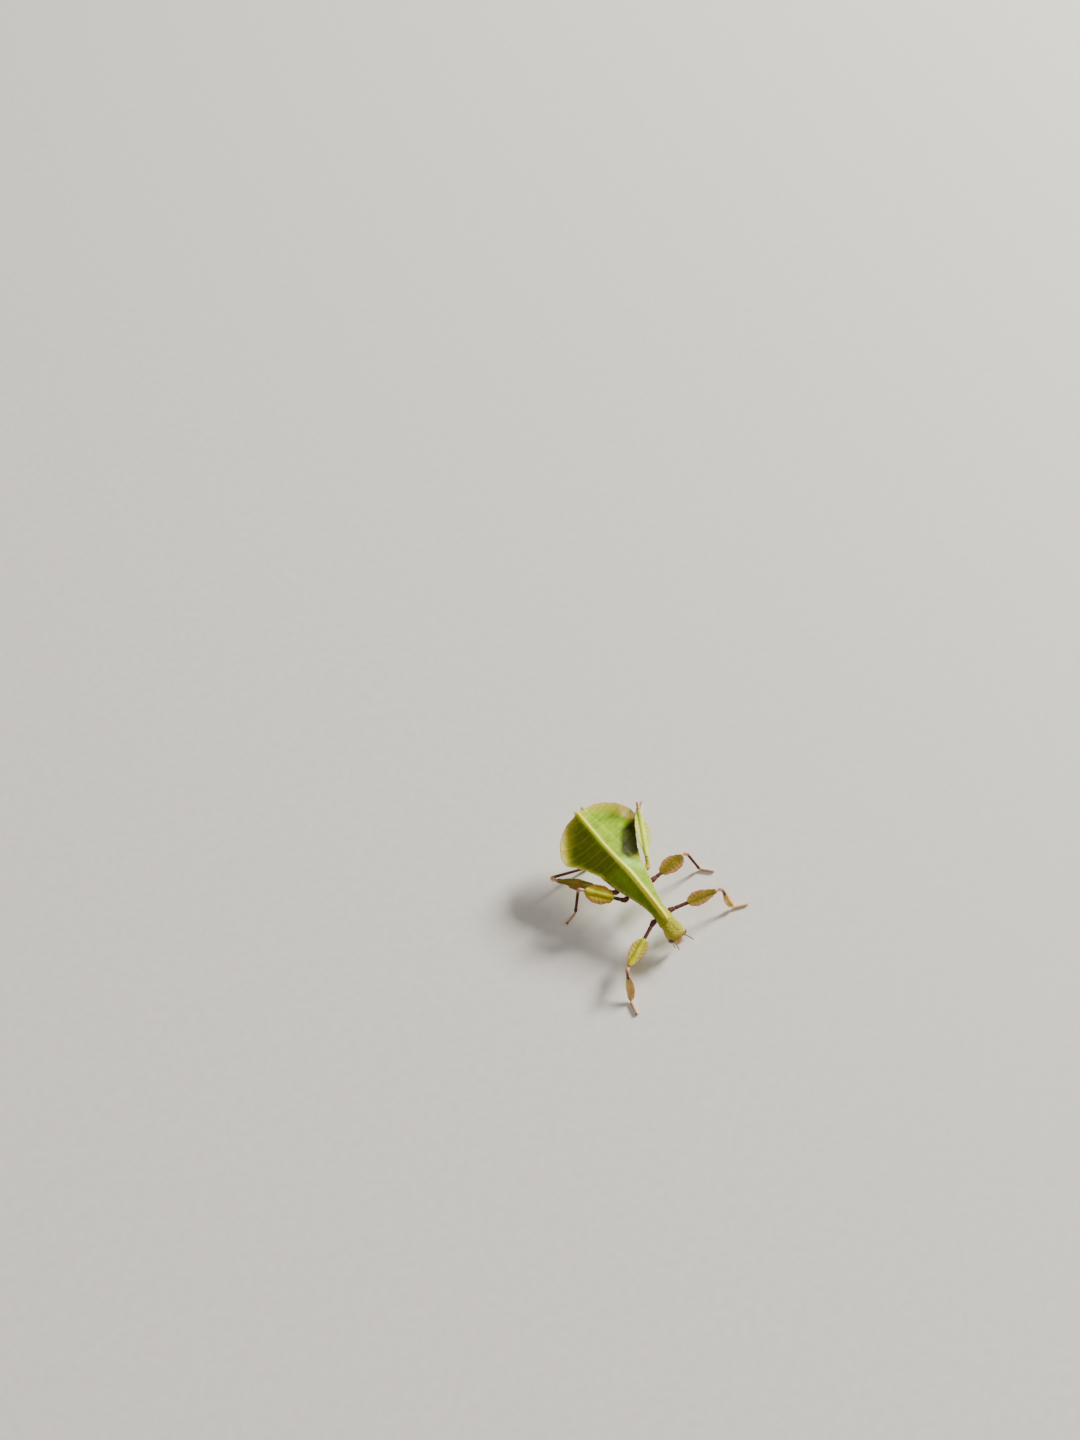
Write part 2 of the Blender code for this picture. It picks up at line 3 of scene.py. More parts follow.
import bpy
import numpy as np
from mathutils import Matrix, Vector


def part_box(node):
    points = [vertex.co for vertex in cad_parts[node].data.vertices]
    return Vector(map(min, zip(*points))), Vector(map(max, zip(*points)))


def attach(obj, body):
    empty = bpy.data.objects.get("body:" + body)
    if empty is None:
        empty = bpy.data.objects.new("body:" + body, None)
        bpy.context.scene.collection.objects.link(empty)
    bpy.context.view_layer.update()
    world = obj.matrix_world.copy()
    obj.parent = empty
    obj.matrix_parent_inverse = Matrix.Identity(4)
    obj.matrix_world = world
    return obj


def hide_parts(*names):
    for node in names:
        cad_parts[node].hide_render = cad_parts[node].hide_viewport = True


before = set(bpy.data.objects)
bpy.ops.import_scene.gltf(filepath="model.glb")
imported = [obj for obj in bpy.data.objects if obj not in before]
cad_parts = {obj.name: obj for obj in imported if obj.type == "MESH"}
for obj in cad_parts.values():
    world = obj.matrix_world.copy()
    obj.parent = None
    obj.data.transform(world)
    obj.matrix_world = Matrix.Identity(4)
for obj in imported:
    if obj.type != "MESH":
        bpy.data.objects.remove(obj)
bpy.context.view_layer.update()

# Camera
# A phone held above the insect, looking down at it steeply from its front right. The
# insect is small in the frame, low and right of the middle, as in the photo.
MM = 0.001
CAMERA_PLACE = (-54.25 * MM, -51.42 * MM, 133.70 * MM)
CAMERA_YAW = math.radians(38.92)
CAMERA_PITCH = math.radians(54.03)
LONG_SIDE_PIXELS = 1440
FOCAL_PIXELS = 1458.4
SENSOR = 36.0

camera_data = bpy.data.cameras.new("camera")
camera_data.sensor_width = SENSOR
camera_data.lens = SENSOR * FOCAL_PIXELS / LONG_SIDE_PIXELS
camera_data.clip_start = 5 * MM
camera_data.clip_end = 5000 * MM
camera = bpy.data.objects.new("camera", camera_data)
camera.location = CAMERA_PLACE
camera.rotation_euler = (math.pi / 2 - CAMERA_PITCH, 0.0, -CAMERA_YAW)
bpy.context.collection.objects.link(camera)
bpy.context.scene.camera = camera


class Wire:
    """One output of a material's nodes. Sums, products and powers of wires add Math nodes."""

    def __init__(self, tree, socket=None):
        self.tree = tree
        self.socket = socket

    def node(self, kind, settings, inputs, output=0):
        """Adds one node: its settings first, then values or links for its sockets."""
        made = self.tree.nodes.new(kind)
        for name, value in settings.items():
            if name == "stops":
                for stop, (place, colour) in zip(made.color_ramp.elements, value):
                    stop.position = place
                    stop.color = colour
            else:
                setattr(made, name, value)
        for name, value in inputs.items():
            if isinstance(value, Wire):
                self.tree.links.new(value.socket, made.inputs[name])
            else:
                made.inputs[name].default_value = value
        return Wire(self.tree, made.outputs[output])

    def maths(self, operation, *values, clamp=False):
        """A Math node on this wire and more values."""
        settings = {"operation": operation, "use_clamp": clamp}
        return self.node("ShaderNodeMath", settings, dict(enumerate((self, *values))))

    def __add__(self, other):
        return self.maths("ADD", other)

    def __sub__(self, other):
        return self.maths("SUBTRACT", other)

    def __rsub__(self, other):
        return self.node("ShaderNodeMath", {"operation": "SUBTRACT"}, {0: other, 1: self})

    def __mul__(self, other):
        return self.maths("MULTIPLY", other)

    def __pow__(self, other):
        return self.maths("POWER", other)

    __radd__ = __add__
    __rmul__ = __mul__

    def clamped(self):
        """The same value held between 0 and 1."""
        return self.maths("ADD", 0.0, clamp=True)

    def between(self, low, high):
        """0 below low, 1 above high, and a smooth step between them."""
        settings = {"interpolation_type": "SMOOTHSTEP"}
        return self.node("ShaderNodeMapRange", settings, {0: self, 1: low, 2: high})

    def blend(self, first, second):
        """A colour between two, by this wire as the factor."""
        settings = {"data_type": "RGBA"}
        return self.node("ShaderNodeMix", settings, {0: self, 6: first, 7: second}, 2)

    def mask(self, name):
        """A value painted on the mesh as an attribute."""
        return self.node("ShaderNodeAttribute", {"attribute_name": name}, {}, 2)

    def noise(self, size, detail=3.0, roughness=0.55, stretch=(1, 1, 1)):
        """Cloudy noise with lumps of about a size in metres, from 0 to 1."""
        place = self.node("ShaderNodeTexCoord", {}, {}, 3)
        scaled = self.node("ShaderNodeMapping", {}, {0: place, 3: stretch})
        return self.node("ShaderNodeTexNoise", {},
                         {0: scaled, 2: 1 / size, 3: detail, 4: roughness})

    def cells(self, size, feature="F1", output=0):
        """Distance to the nearest of scattered points, about a size in metres apart."""
        place = self.node("ShaderNodeTexCoord", {}, {}, 3)
        return self.node("ShaderNodeTexVoronoi", {"feature": feature},
                         {"Vector": place, "Scale": 1 / size}, output)

    def bump(self, distance, strength=1.0, under=None):
        """A normal that makes this height, from 0 to 1, stand a distance in metres proud."""
        inputs = {"Height": self, "Distance": distance, "Strength": strength}
        if under is not None:
            inputs["Normal"] = under
        return self.node("ShaderNodeBump", {}, inputs)


def tone(red, green, blue):
    """A colour from screen values of 0 to 255, as the shader's linear values."""
    screen = np.array([red, green, blue]) / 255
    linear = np.where(screen <= 0.04045, screen / 12.92, ((screen + 0.055) / 1.055) ** 2.4)
    return (*[float(part) for part in linear], 1.0)


def finish_of(name, constants):
    """A new material with numbers set on its shader, and a wire to start its recipe."""
    made = bpy.data.materials.new(name)
    made.use_nodes = True
    shader = made.node_tree.nodes["Principled BSDF"]
    for socket, value in constants.items():
        shader.inputs[socket].default_value = value
    return made, Wire(made.node_tree), shader


def join(wire, shader, socket):
    """Links a wire to one of the shader's sockets."""
    wire.tree.links.new(wire.socket, shader.inputs[socket])


# Floor and light
# A plain pale tabletop. A large soft lamp stands low beyond the insect's left side, as
# the light in the photo does, and the pale room fills the shadows.
FLOOR_HALF = 3000 * MM
LAMP_SIZE = 200 * MM
LAMP_DISTANCE = 900 * MM
LAMP_HEIGHT = math.radians(25)
LAMP_SIDE = math.radians(4)
LAMP_WATTS = 18.0
FILL_SIZE = 600 * MM
FILL_HEIGHT = math.radians(72)
FILL_SIDE = math.radians(195)
FILL_WATTS = 1.5
ROOM_STRENGTH = 0.18

floor_mesh = bpy.data.meshes.new("floor")
floor_mesh.from_pydata([(-FLOOR_HALF, -FLOOR_HALF, 0), (FLOOR_HALF, -FLOOR_HALF, 0),
                        (FLOOR_HALF, FLOOR_HALF, 0), (-FLOOR_HALF, FLOOR_HALF, 0)], [], [(0, 1, 2, 3)])
floor = bpy.data.objects.new("floor", floor_mesh)
bpy.context.collection.objects.link(floor)
table_top, wire, shader = finish_of("table_top", {"Specular IOR Level": 0.25})
grain = wire.noise(0.9 * MM, 4.0)
join(grain.between(0.3, 0.7).blend(tone(238, 235, 230), tone(243, 240, 236)), shader, "Base Color")
join(0.62 + 0.12 * grain, shader, "Roughness")
floor_mesh.materials.append(table_top)


def lamp(name, azimuth, elevation, distance, size, watts, colour):
    """A square soft lamp that faces the insect from a side and height."""
    light = bpy.data.lights.new(name, "AREA")
    light.size = size
    light.energy = watts
    light.color = colour
    holder = bpy.data.objects.new(name, light)
    way = Vector((math.cos(azimuth) * math.cos(elevation), math.sin(azimuth) * math.cos(elevation),
                  math.sin(elevation)))
    holder.location = way * distance
    holder.rotation_mode = "QUATERNION"
    holder.rotation_quaternion = way.to_track_quat("Z", "Y")
    bpy.context.collection.objects.link(holder)


lamp("key_lamp", LAMP_SIDE, LAMP_HEIGHT, LAMP_DISTANCE, LAMP_SIZE, LAMP_WATTS, (1.0, 0.97, 0.90))
lamp("fill_lamp", FILL_SIDE, FILL_HEIGHT, LAMP_DISTANCE, FILL_SIZE, FILL_WATTS, (1.0, 0.94, 0.86))
room = bpy.data.worlds.new("room")
room.use_nodes = True
room.node_tree.nodes["Background"].inputs["Color"].default_value = (1.0, 0.94, 0.87, 1.0)
room.node_tree.nodes["Background"].inputs["Strength"].default_value = ROOM_STRENGTH
bpy.context.scene.world = room


# Body
# Head, thorax and leaf-shaped abdomen in one thin, tough skin. A keel runs down the back,
# the abdomen's margins are thin and turned up, and slanting veins cross its halves.
HEAD_Y = -7.20 * MM
WAIST_Y = 0.5 * MM
TAIL_Y = 9.30 * MM
HEAD_RIDGE_Z = 2.50 * MM
WAIST_RIDGE_Z = 4.75 * MM
TAIL_RIDGE_Z = 5.40 * MM
ABDOMEN_YAW = math.radians(3.5)
ABDOMEN_ROLL = math.radians(5.0)
TURN_LENGTH = 3.0 * MM
NECK_Y = -5.35 * MM
PROTHORAX_END_Y = -3.70 * MM
MESOTHORAX_END_Y = -0.65 * MM
METATHORAX_END_Y = 1.20 * MM
ABDOMEN_START_Y = 1.45 * MM
# Outline from above, head to waist, as (y, half width), and the depth below the ridge
BODY_OUTLINE = ((-7.20, 0.42), (-6.95, 0.82), (-6.25, 1.12), (-5.60, 0.93), (-5.10, 0.90), (-4.00, 0.82),
                (-3.20, 0.88), (-2.30, 1.08), (-1.30, 1.40), (-0.30, 1.75), (1.20, 2.20))
BODY_DEPTH = ((-7.20, 0.72), (-6.85, 1.10), (-6.20, 1.32), (-5.30, 1.10), (-4.00, 1.15), (-1.30, 1.40),
              (1.20, 1.55))
# Outline of the abdomen from above, waist to tail, as (half width, y)
ABDOMEN_OUTLINE = ((2.22, 1.45), (2.90, 3.00), (3.75, 4.40), (4.70, 5.80), (4.45, 7.00), (3.60, 8.15),
                   (2.15, 9.05), (0.85, 9.30))
ABDOMEN_CORE = (1.85, 1.60, 0.87)
ABDOMEN_DEPTH = (1.55, 1.30, 0.80)
ABDOMEN_SEGMENTS = 8
SOLID_MARGIN = 0.50 * MM
THIN_MARGIN = 0.17 * MM
MARGIN_DROOP = 0.30
MARGIN_CURL = 0.17
KEEL_HEIGHT = 0.16 * MM
KEEL_WIDTH = 0.30 * MM
KEEL_LEAN = -0.42 * MM
VEIN_HEIGHT = 0.05 * MM
VEIN_WIDTH = 0.09 * MM
SCALLOP_DEPTH = 0.10 * MM
TOOTH_DEPTH = 0.05 * MM
FURROW_DEPTH = 0.07 * MM
FURROW_WIDTH = 0.08 * MM
EYE_ROW_Y = -6.75 * MM
FEELER_Y = -7.08 * MM
FEELER_ABOVE_SIDE = math.radians(15)
FRONT_ROWS = 26
HEAD_ROWS = 120
THORAX_ROWS = 140
ABDOMEN_ROWS = 205
ACROSS_POINTS = 105
FRONT_DOME = 0.42 * MM
TAIL_CLOSING = 0.975

head_low, head_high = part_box("head")
BODY_AXIS = np.array([(head_low.x + head_high.x) / 2, head_low.y - HEAD_Y, 0.0])
RIDGE_CURVE = np.polyfit((HEAD_Y, WAIST_Y, TAIL_Y), (HEAD_RIDGE_Z, WAIST_RIDGE_Z, TAIL_RIDGE_Z), 2)


def curve_through(knots, count):
    """Points spaced evenly by length on a smooth curve: cubic pieces whose slope at each
    knot is half the step from the knot before to the knot after."""
    knots = np.asarray(knots, float)
    padded = np.vstack([2 * knots[0] - knots[1], knots, 2 * knots[-1] - knots[-2]])
    share = np.linspace(0, 1, 24, endpoint=False)[:, None]
    stretches = []
    for before, here, there, after in zip(padded, padded[1:], padded[2:], padded[3:]):
        stretches.append(0.5 * (2 * here + (there - before) * share
                                + (2 * before - 5 * here + 4 * there - after) * share ** 2
                                + (3 * here - before - 3 * there + after) * share ** 3))
    fine = np.vstack(stretches + [knots[-1:]])
    run = np.concatenate([[0], np.cumsum(np.linalg.norm(np.diff(fine, axis=0), axis=1))])
    wanted = np.linspace(0, run[-1], count)
    return np.stack([np.interp(wanted, run, column) for column in fine.T], -1)


def smooth_step(value, low, high):
    """0 below low, 1 above high, and an S-shaped cubic between."""
    share = np.clip((value - low) / (high - low), 0, 1)
    return share * share * (3 - 2 * share)


def hump(value, middle, width):
    """A bell curve: 1 at the middle, falling off over a width."""
    return np.exp(-((value - middle) / width) ** 2)


def spot(across_place, along_place, across_width, along_width):
    """A round bell over the body's top, 1 at a place given from the waist's axis."""
    return np.where(is_top, hump(x, across_place * MM, across_width * MM)
                    * hump(y, along_place * MM, along_width * MM), 0)


def ridge_height(y):
    """Height of the back's ridge: the parabola through head, waist and tail."""
    return np.polyval(RIDGE_CURVE, y)


def turned(points):
    """Bends points behind the waist to the left and rolls them about the ridge."""
    x, y, z = np.moveaxis(points, -1, 0)
    past = np.maximum(y - METATHORAX_END_Y, 0)
    eased = smooth_step(past, 0, TURN_LENGTH)
    roll = ABDOMEN_ROLL * eased
    axis = ridge_height(y)
    below = z - axis
    aside = x * np.cos(roll) - below * np.sin(roll) + math.tan(ABDOMEN_YAW) * past * eased
    return np.stack([aside, y, axis + x * np.sin(roll) + below * np.cos(roll)], -1)


def shell(rows):
    """A closed shell over rings of points: quads between neighbouring rings and a fan to
    the middle of each end, turned to face outwards where their volume is negative."""
    count, around = rows.shape[:2]
    points = np.vstack([rows.reshape(-1, 3), rows[0].mean(axis=0), rows[-1].mean(axis=0)])
    here = np.arange((count - 1) * around).reshape(count - 1, around)
    beside = np.roll(here, -1, axis=1)
    quads = np.stack([here, beside, beside + around, here + around], -1).reshape(-1, 4)
    first = np.arange(around)
    last = first + (count - 1) * around
    pole = np.full(around, count * around)
    fans = np.vstack([np.stack([pole, np.roll(first, -1), first], -1),
                      np.stack([pole + 1, last, np.roll(last, -1)], -1)])
    a, b, c, d = np.moveaxis((points - points.mean(axis=0))[quads], 1, 0)
    if (a * np.cross(b, c)).sum() + (a * np.cross(c, d)).sum() < 0:
        quads = quads[:, ::-1]
        fans = fans[:, ::-1]
    return points, quads, fans


def lay_skin(name, material, *shapes):
    """One smooth piece of closed shells. Each shape is its rings and its masks, which
    become point attributes of the mesh."""
    points, quads, fans, painted = [], [], [], {}
    for rows, masks in shapes:
        start = sum(len(part) for part in points)
        more_points, more_quads, more_fans = shell(rows)
        points.append(more_points + BODY_AXIS)
        quads.append(more_quads + start)
        fans.append(more_fans + start)
        for mask, values in masks.items():
            values = np.broadcast_to(values, rows.shape[:2])
            ends = [values[0].mean(), values[-1].mean()]
            painted.setdefault(mask, []).append(np.concatenate([values.ravel(), ends]))
    points = np.concatenate(points)
    quads = np.concatenate(quads)
    fans = np.concatenate(fans)
    totals = np.concatenate([np.full(len(quads), 4), np.full(len(fans), 3)])
    mesh = bpy.data.meshes.new(name)
    mesh.vertices.add(len(points))
    mesh.vertices.foreach_set("co", points.astype(np.float32).ravel())
    mesh.loops.add(int(totals.sum()))
    mesh.loops.foreach_set("vertex_index", np.concatenate([quads.ravel(), fans.ravel()]).astype(np.int32))
    mesh.polygons.add(len(totals))
    mesh.polygons.foreach_set("loop_start", (np.cumsum(totals) - totals).astype(np.int32))
    mesh.polygons.foreach_set("loop_total", totals.astype(np.int32))
    mesh.update(calc_edges=True)
    mesh.shade_smooth()
    for mask, parts in painted.items():
        values = np.concatenate(parts).astype(np.float32)
        mesh.attributes.new(mask, "FLOAT", "POINT").data.foreach_set("value", values)
    mesh.materials.append(material)
    piece = bpy.data.objects.new(name, mesh)
    bpy.context.collection.objects.link(piece)
    return piece


def outward(rows):
    """Unit normals of a skin of rings: the cross product of its steps along and around,
    turned to point away from each ring's middle."""
    along = np.gradient(rows, axis=0)
    around = np.roll(rows, -1, axis=1) - np.roll(rows, 1, axis=1)
    normal = np.cross(along, around)
    normal /= np.linalg.norm(normal, axis=-1, keepdims=True) + 1e-12
    away = (normal * (rows - rows.mean(axis=1, keepdims=True))).sum()
    return normal * np.sign(away)


front_turn = np.linspace(0.06, math.pi / 2, FRONT_ROWS, endpoint=False)
trunk_y = np.concatenate([
    HEAD_Y + FRONT_DOME * (1 - np.cos(front_turn)),
    np.linspace(HEAD_Y + FRONT_DOME, NECK_Y, HEAD_ROWS - FRONT_ROWS, endpoint=False),
    np.linspace(NECK_Y, ABDOMEN_START_Y, THORAX_ROWS, endpoint=False)])
trunk_widths = curve_through(BODY_OUTLINE, 400) * MM
trunk_depths = curve_through(BODY_DEPTH, 400) * MM


def flank(place, above):
    """The point of the thorax's left side at a y where the skin faces out and up by an
    angle, and that direction: the nearest of the edges of the solid body's section."""
    half = np.interp(place, *trunk_widths.T)
    deep = np.interp(place, *trunk_depths.T) - SOLID_MARGIN
    even = np.linspace(-1, 1, 21)
    share = 0.55 * even + 0.45 * np.sin(even * math.pi / 2)
    line = -MARGIN_DROOP * half * np.abs(share) ** 1.3
    edge = SOLID_MARGIN / 2 * np.sqrt(np.clip(1 - share ** 6, 0, 1))
    swell = deep * np.clip(1 - (share / 1.02) ** 2, 0, 1) ** 0.75
    top = line + edge + 0.15 * swell + KEEL_HEIGHT * hump(share * half, 0, KEEL_WIDTH)
    ring_x = np.concatenate([share, share[::-1][1:-1]]) * half
    ring_z = np.concatenate([top, (line - edge - 0.85 * swell)[::-1][1:-1]]) + ridge_height(place) - top.max()
    step_x = np.roll(ring_x, -1) - ring_x
    step_z = np.roll(ring_z, -1) - ring_z
    aim = np.arctan2(step_x, -step_z) - above
    aim = np.abs((aim + math.pi) % math.tau - math.pi)
    aim[ring_x + np.roll(ring_x, -1) <= 0] = math.inf
    best = int(np.argmin(aim))
    normal = np.array([-step_z[best], 0, step_x[best]])
    point = np.array([ring_x[best] + step_x[best] / 2, place, ring_z[best] + step_z[best] / 2])
    return point, normal / np.linalg.norm(normal)


margin = curve_through(ABDOMEN_OUTLINE, ABDOMEN_ROWS) * MM
along_abdomen = np.linspace(0, 1, ABDOMEN_ROWS)
abdomen_length = TAIL_Y - ABDOMEN_START_Y
middle_y = np.concatenate([trunk_y, ABDOMEN_START_Y + along_abdomen * abdomen_length])[:, None]
is_abdomen = np.arange(len(middle_y))[:, None] >= len(trunk_y)
segment = np.concatenate([np.zeros(len(trunk_y)), along_abdomen])[:, None] * ABDOMEN_SEGMENTS
opened = np.clip(segment / 0.75, 0, 1)
half_width = np.concatenate([np.interp(trunk_y, *trunk_widths.T), margin[:, 0]])[:, None]
depth = np.concatenate([np.interp(trunk_y, *trunk_depths.T),
                        np.interp(along_abdomen, (0, 0.5, 1), ABDOMEN_DEPTH) * MM])[:, None]
core = np.concatenate([half_width[:len(trunk_y), 0],
                       np.interp(along_abdomen, (0, 0.5, 1), ABDOMEN_CORE) * MM])[:, None]
core = core * opened + 1.02 * half_width * (1 - opened)
swept_back = np.concatenate([np.zeros(len(trunk_y)), margin[:, 1]])[:, None] - middle_y * is_abdomen

even = np.linspace(-1, 1, ACROSS_POINTS)
across = 0.55 * even + 0.45 * np.sin(even * math.pi / 2)
across = np.concatenate([across, across[::-1][1:-1]])[None, :]
is_top = (np.arange(across.size) < ACROSS_POINTS)[None, :]
far = np.abs(across)

# Closing domes at the front of the head and at the tail
dome = np.sqrt(1 - np.clip((HEAD_Y + FRONT_DOME - middle_y) / FRONT_DOME, 0, 1) ** 2)
tail_share = np.clip((segment / ABDOMEN_SEGMENTS - TAIL_CLOSING) / (1 - TAIL_CLOSING), 0, 1) * is_abdomen
dome = dome * np.sqrt(np.clip(1 - 0.97 * tail_share ** 2, 0, 1))

# Scalloped margin: each segment's edge bulges between notches, with small uneven teeth
notch = np.abs(np.sin(math.pi * segment)) ** 0.6
teeth = 0.5 + 0.5 * np.sin(segment * 31 + 2.3 * np.sin(segment * 11 + across))
edge_in = (SCALLOP_DEPTH * (1 - notch) + TOOTH_DEPTH * teeth) * opened
x = across * (half_width - edge_in * far ** 4) * dome
lean = KEEL_LEAN * smooth_step(middle_y, WAIST_Y, 5.0 * MM) * (1 - far ** 2)
y = middle_y + swept_back * far ** 1.5

# Roof-shaped section of thorax and abdomen
keel = KEEL_HEIGHT * smooth_step(middle_y, -5.5 * MM, -4.2 * MM)
upturn = MARGIN_CURL * opened * np.clip((far - 0.6) / 0.4, 0, 1) ** 2
middle = half_width * (upturn - MARGIN_DROOP * far ** 1.3)
rim = THIN_MARGIN / 2 * np.sqrt(np.clip(1 - far ** 6, 0, 1))
swell = np.clip(1 - (x / core) ** 2, 0, 1) ** 0.75
above = SOLID_MARGIN / 2 + 0.15 * (depth - SOLID_MARGIN)
below = SOLID_MARGIN / 2 + 0.85 * (depth - SOLID_MARGIN)
roof = np.where(is_top, rim + (above - THIN_MARGIN / 2) * swell + keel * hump(x, 0, KEEL_WIDTH),
                -rim - (below - THIN_MARGIN / 2) * swell)
roof_z = ridge_height(middle_y) - above - KEEL_HEIGHT + middle + roof * dome

# Oval section of the head, flat above, with cheeks that draw in to the mouth
height = depth + KEEL_HEIGHT
oval = np.where(is_top, 0.44 * height * np.clip(1 - far ** 2.5, 0, 1) ** 0.5,
                -0.56 * height * np.clip(1 - far ** 2, 0, 1) ** 0.62)
oval_z = ridge_height(middle_y) - 0.44 * height + oval * dome
as_head = 1 - smooth_step(middle_y, -5.75 * MM, -4.9 * MM)
body = np.stack([x + lean, np.broadcast_to(y, x.shape), roof_z * (1 - as_head) + oval_z * as_head], -1)
normals = outward(body)

# Raised veins on the abdomen, and furrows between and across the plates of the thorax
segment_length = abdomen_length / ABDOMEN_SEGMENTS
vein_gap = (segment - np.round(segment)) * segment_length
vein = hump(vein_gap, 0, VEIN_WIDTH) * opened * smooth_step(far, 0.03, 0.12) * (1 - 0.5 * far ** 4)
minor_gap = (segment - 0.5 - np.round(segment - 0.5)) * segment_length
minor = hump(minor_gap, 0, VEIN_WIDTH * 0.7) * opened * smooth_step(far, 0.2, 0.4) * (1 - far ** 3)
furrow = sum(hump(middle_y, place, FURROW_WIDTH) for place in
             (NECK_Y, PROTHORAX_END_Y, MESOTHORAX_END_Y, METATHORAX_END_Y + 0.1 * MM))
furrow = furrow * (1 - 0.7 * hump(x, 0, 0.18 * MM) * is_top)
plate_line = hump(middle_y, -4.62 * MM + 0.35 * x ** 2 / MM, 0.05 * MM) + hump(
    middle_y, -2.9 * MM + 0.9 * np.abs(x), 0.05 * MM) * (middle_y > PROTHORAX_END_Y)
plate_line = plate_line * smooth_step(far, 0.12, 0.3) * is_top * (1 - opened)
collar = hump(middle_y, NECK_Y + 0.19 * MM, 0.09 * MM) * is_top
side_rim = hump(far, 0.93, 0.05) * (1 - as_head) * (1 - opened) * is_top
crown = hump(x, 0, 0.045 * MM) * as_head * smooth_step(middle_y, -6.95 * MM, -6.7 * MM)
crown = crown + hump(np.abs(x), 0.05 * MM + 0.9 * (-6.45 * MM - middle_y), 0.045 * MM) * (
    middle_y < -6.42 * MM) * (middle_y > -6.9 * MM)
back_furrow = hump(np.abs(x), 0.42 * MM, 0.05 * MM) * as_head * smooth_step(middle_y, -6.35 * MM, -6.0 * MM)
relief = (VEIN_HEIGHT * (vein + 0.35 * minor) - FURROW_DEPTH * furrow - 0.03 * MM * plate_line
          + 0.05 * MM * collar + 0.045 * MM * side_rim - 0.03 * MM * (crown + 0.6 * back_furrow) * is_top)
body += normals * np.where(is_top, relief, relief * 0.6)[..., None]

# Rims round the eyes and the feelers' sockets
eye_places = {}
feeler_start, feeler_out = flank(FEELER_Y, FEELER_ABOVE_SIDE)
rims = np.zeros(x.shape)
for side, sign in (("left", 1), ("right", -1)):
    low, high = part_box(f"eye_{side}")
    eye_places[side] = np.array((low + high) / 2) - BODY_AXIS
    from_eye = np.linalg.norm(body - eye_places[side], axis=-1)
    from_feeler = np.linalg.norm(body - feeler_start * (sign, 1, 1), axis=-1)
    nearest_skin = from_feeler.min()
    rims += 0.055 * MM * hump(from_eye, 0.40 * MM, 0.055 * MM)
    rims += 0.05 * MM * hump(from_feeler, nearest_skin + 0.17 * MM, 0.05 * MM)
body += normals * rims[..., None]

# Small grains on head and thorax, with a row of larger ones along edges and keel
draw = np.random.default_rng(11)
HEAD_GRAINS = 190
THORAX_GRAINS = 230
EDGE_GRAINS = 22
KEEL_GRAINS = 9
edge_y = np.linspace(-5.1, 1.0, EDGE_GRAINS) * MM
grain_y = np.concatenate([draw.uniform(-7.0, -5.5, HEAD_GRAINS) * MM, draw.uniform(-5.2, 1.1, THORAX_GRAINS) * MM,
                          edge_y, edge_y + 0.05 * MM, np.linspace(-4.9, 0.6, KEEL_GRAINS) * MM])
grain_across = np.concatenate([draw.uniform(-0.95, 0.95, HEAD_GRAINS + THORAX_GRAINS),
                               np.full(EDGE_GRAINS, 0.96), np.full(EDGE_GRAINS, -0.96), np.zeros(KEEL_GRAINS)])
grain_size = np.concatenate([draw.uniform(0.035, 0.065, HEAD_GRAINS), draw.uniform(0.03, 0.05, THORAX_GRAINS),
                             draw.uniform(0.07, 0.11, 2 * EDGE_GRAINS), np.full(KEEL_GRAINS, 0.08)]) * MM
grains = np.zeros(x.shape)
for place, share, size in zip(grain_y, grain_across, grain_size):
    near = np.abs(middle_y[:, 0] - place) < 3 * size
    away = (y[near] - place) ** 2 + ((across - share) * half_width[near]) ** 2
    grains[near] = np.maximum(grains[near], size * np.exp(-away / size ** 2))
body += normals * np.where(is_top, grains * 0.6, 0)[..., None]
body = turned(body)

# Painted shadow of the hind left thigh: a dark wedge on the left half's front flank, between two slanting lines
painted_shadow = smooth_step(3.5 * MM + 1.2 * (x - 1.13 * MM) - y, -0.35 * MM, 0.55 * MM)
painted_shadow = painted_shadow * smooth_step(x - 0.68 * MM - 0.245 * (3.28 * MM - y), -0.30 * MM, 0.40 * MM)
painted_shadow = painted_shadow * (1 - smooth_step(y, 5.0 * MM, 5.7 * MM)) * opened * is_top
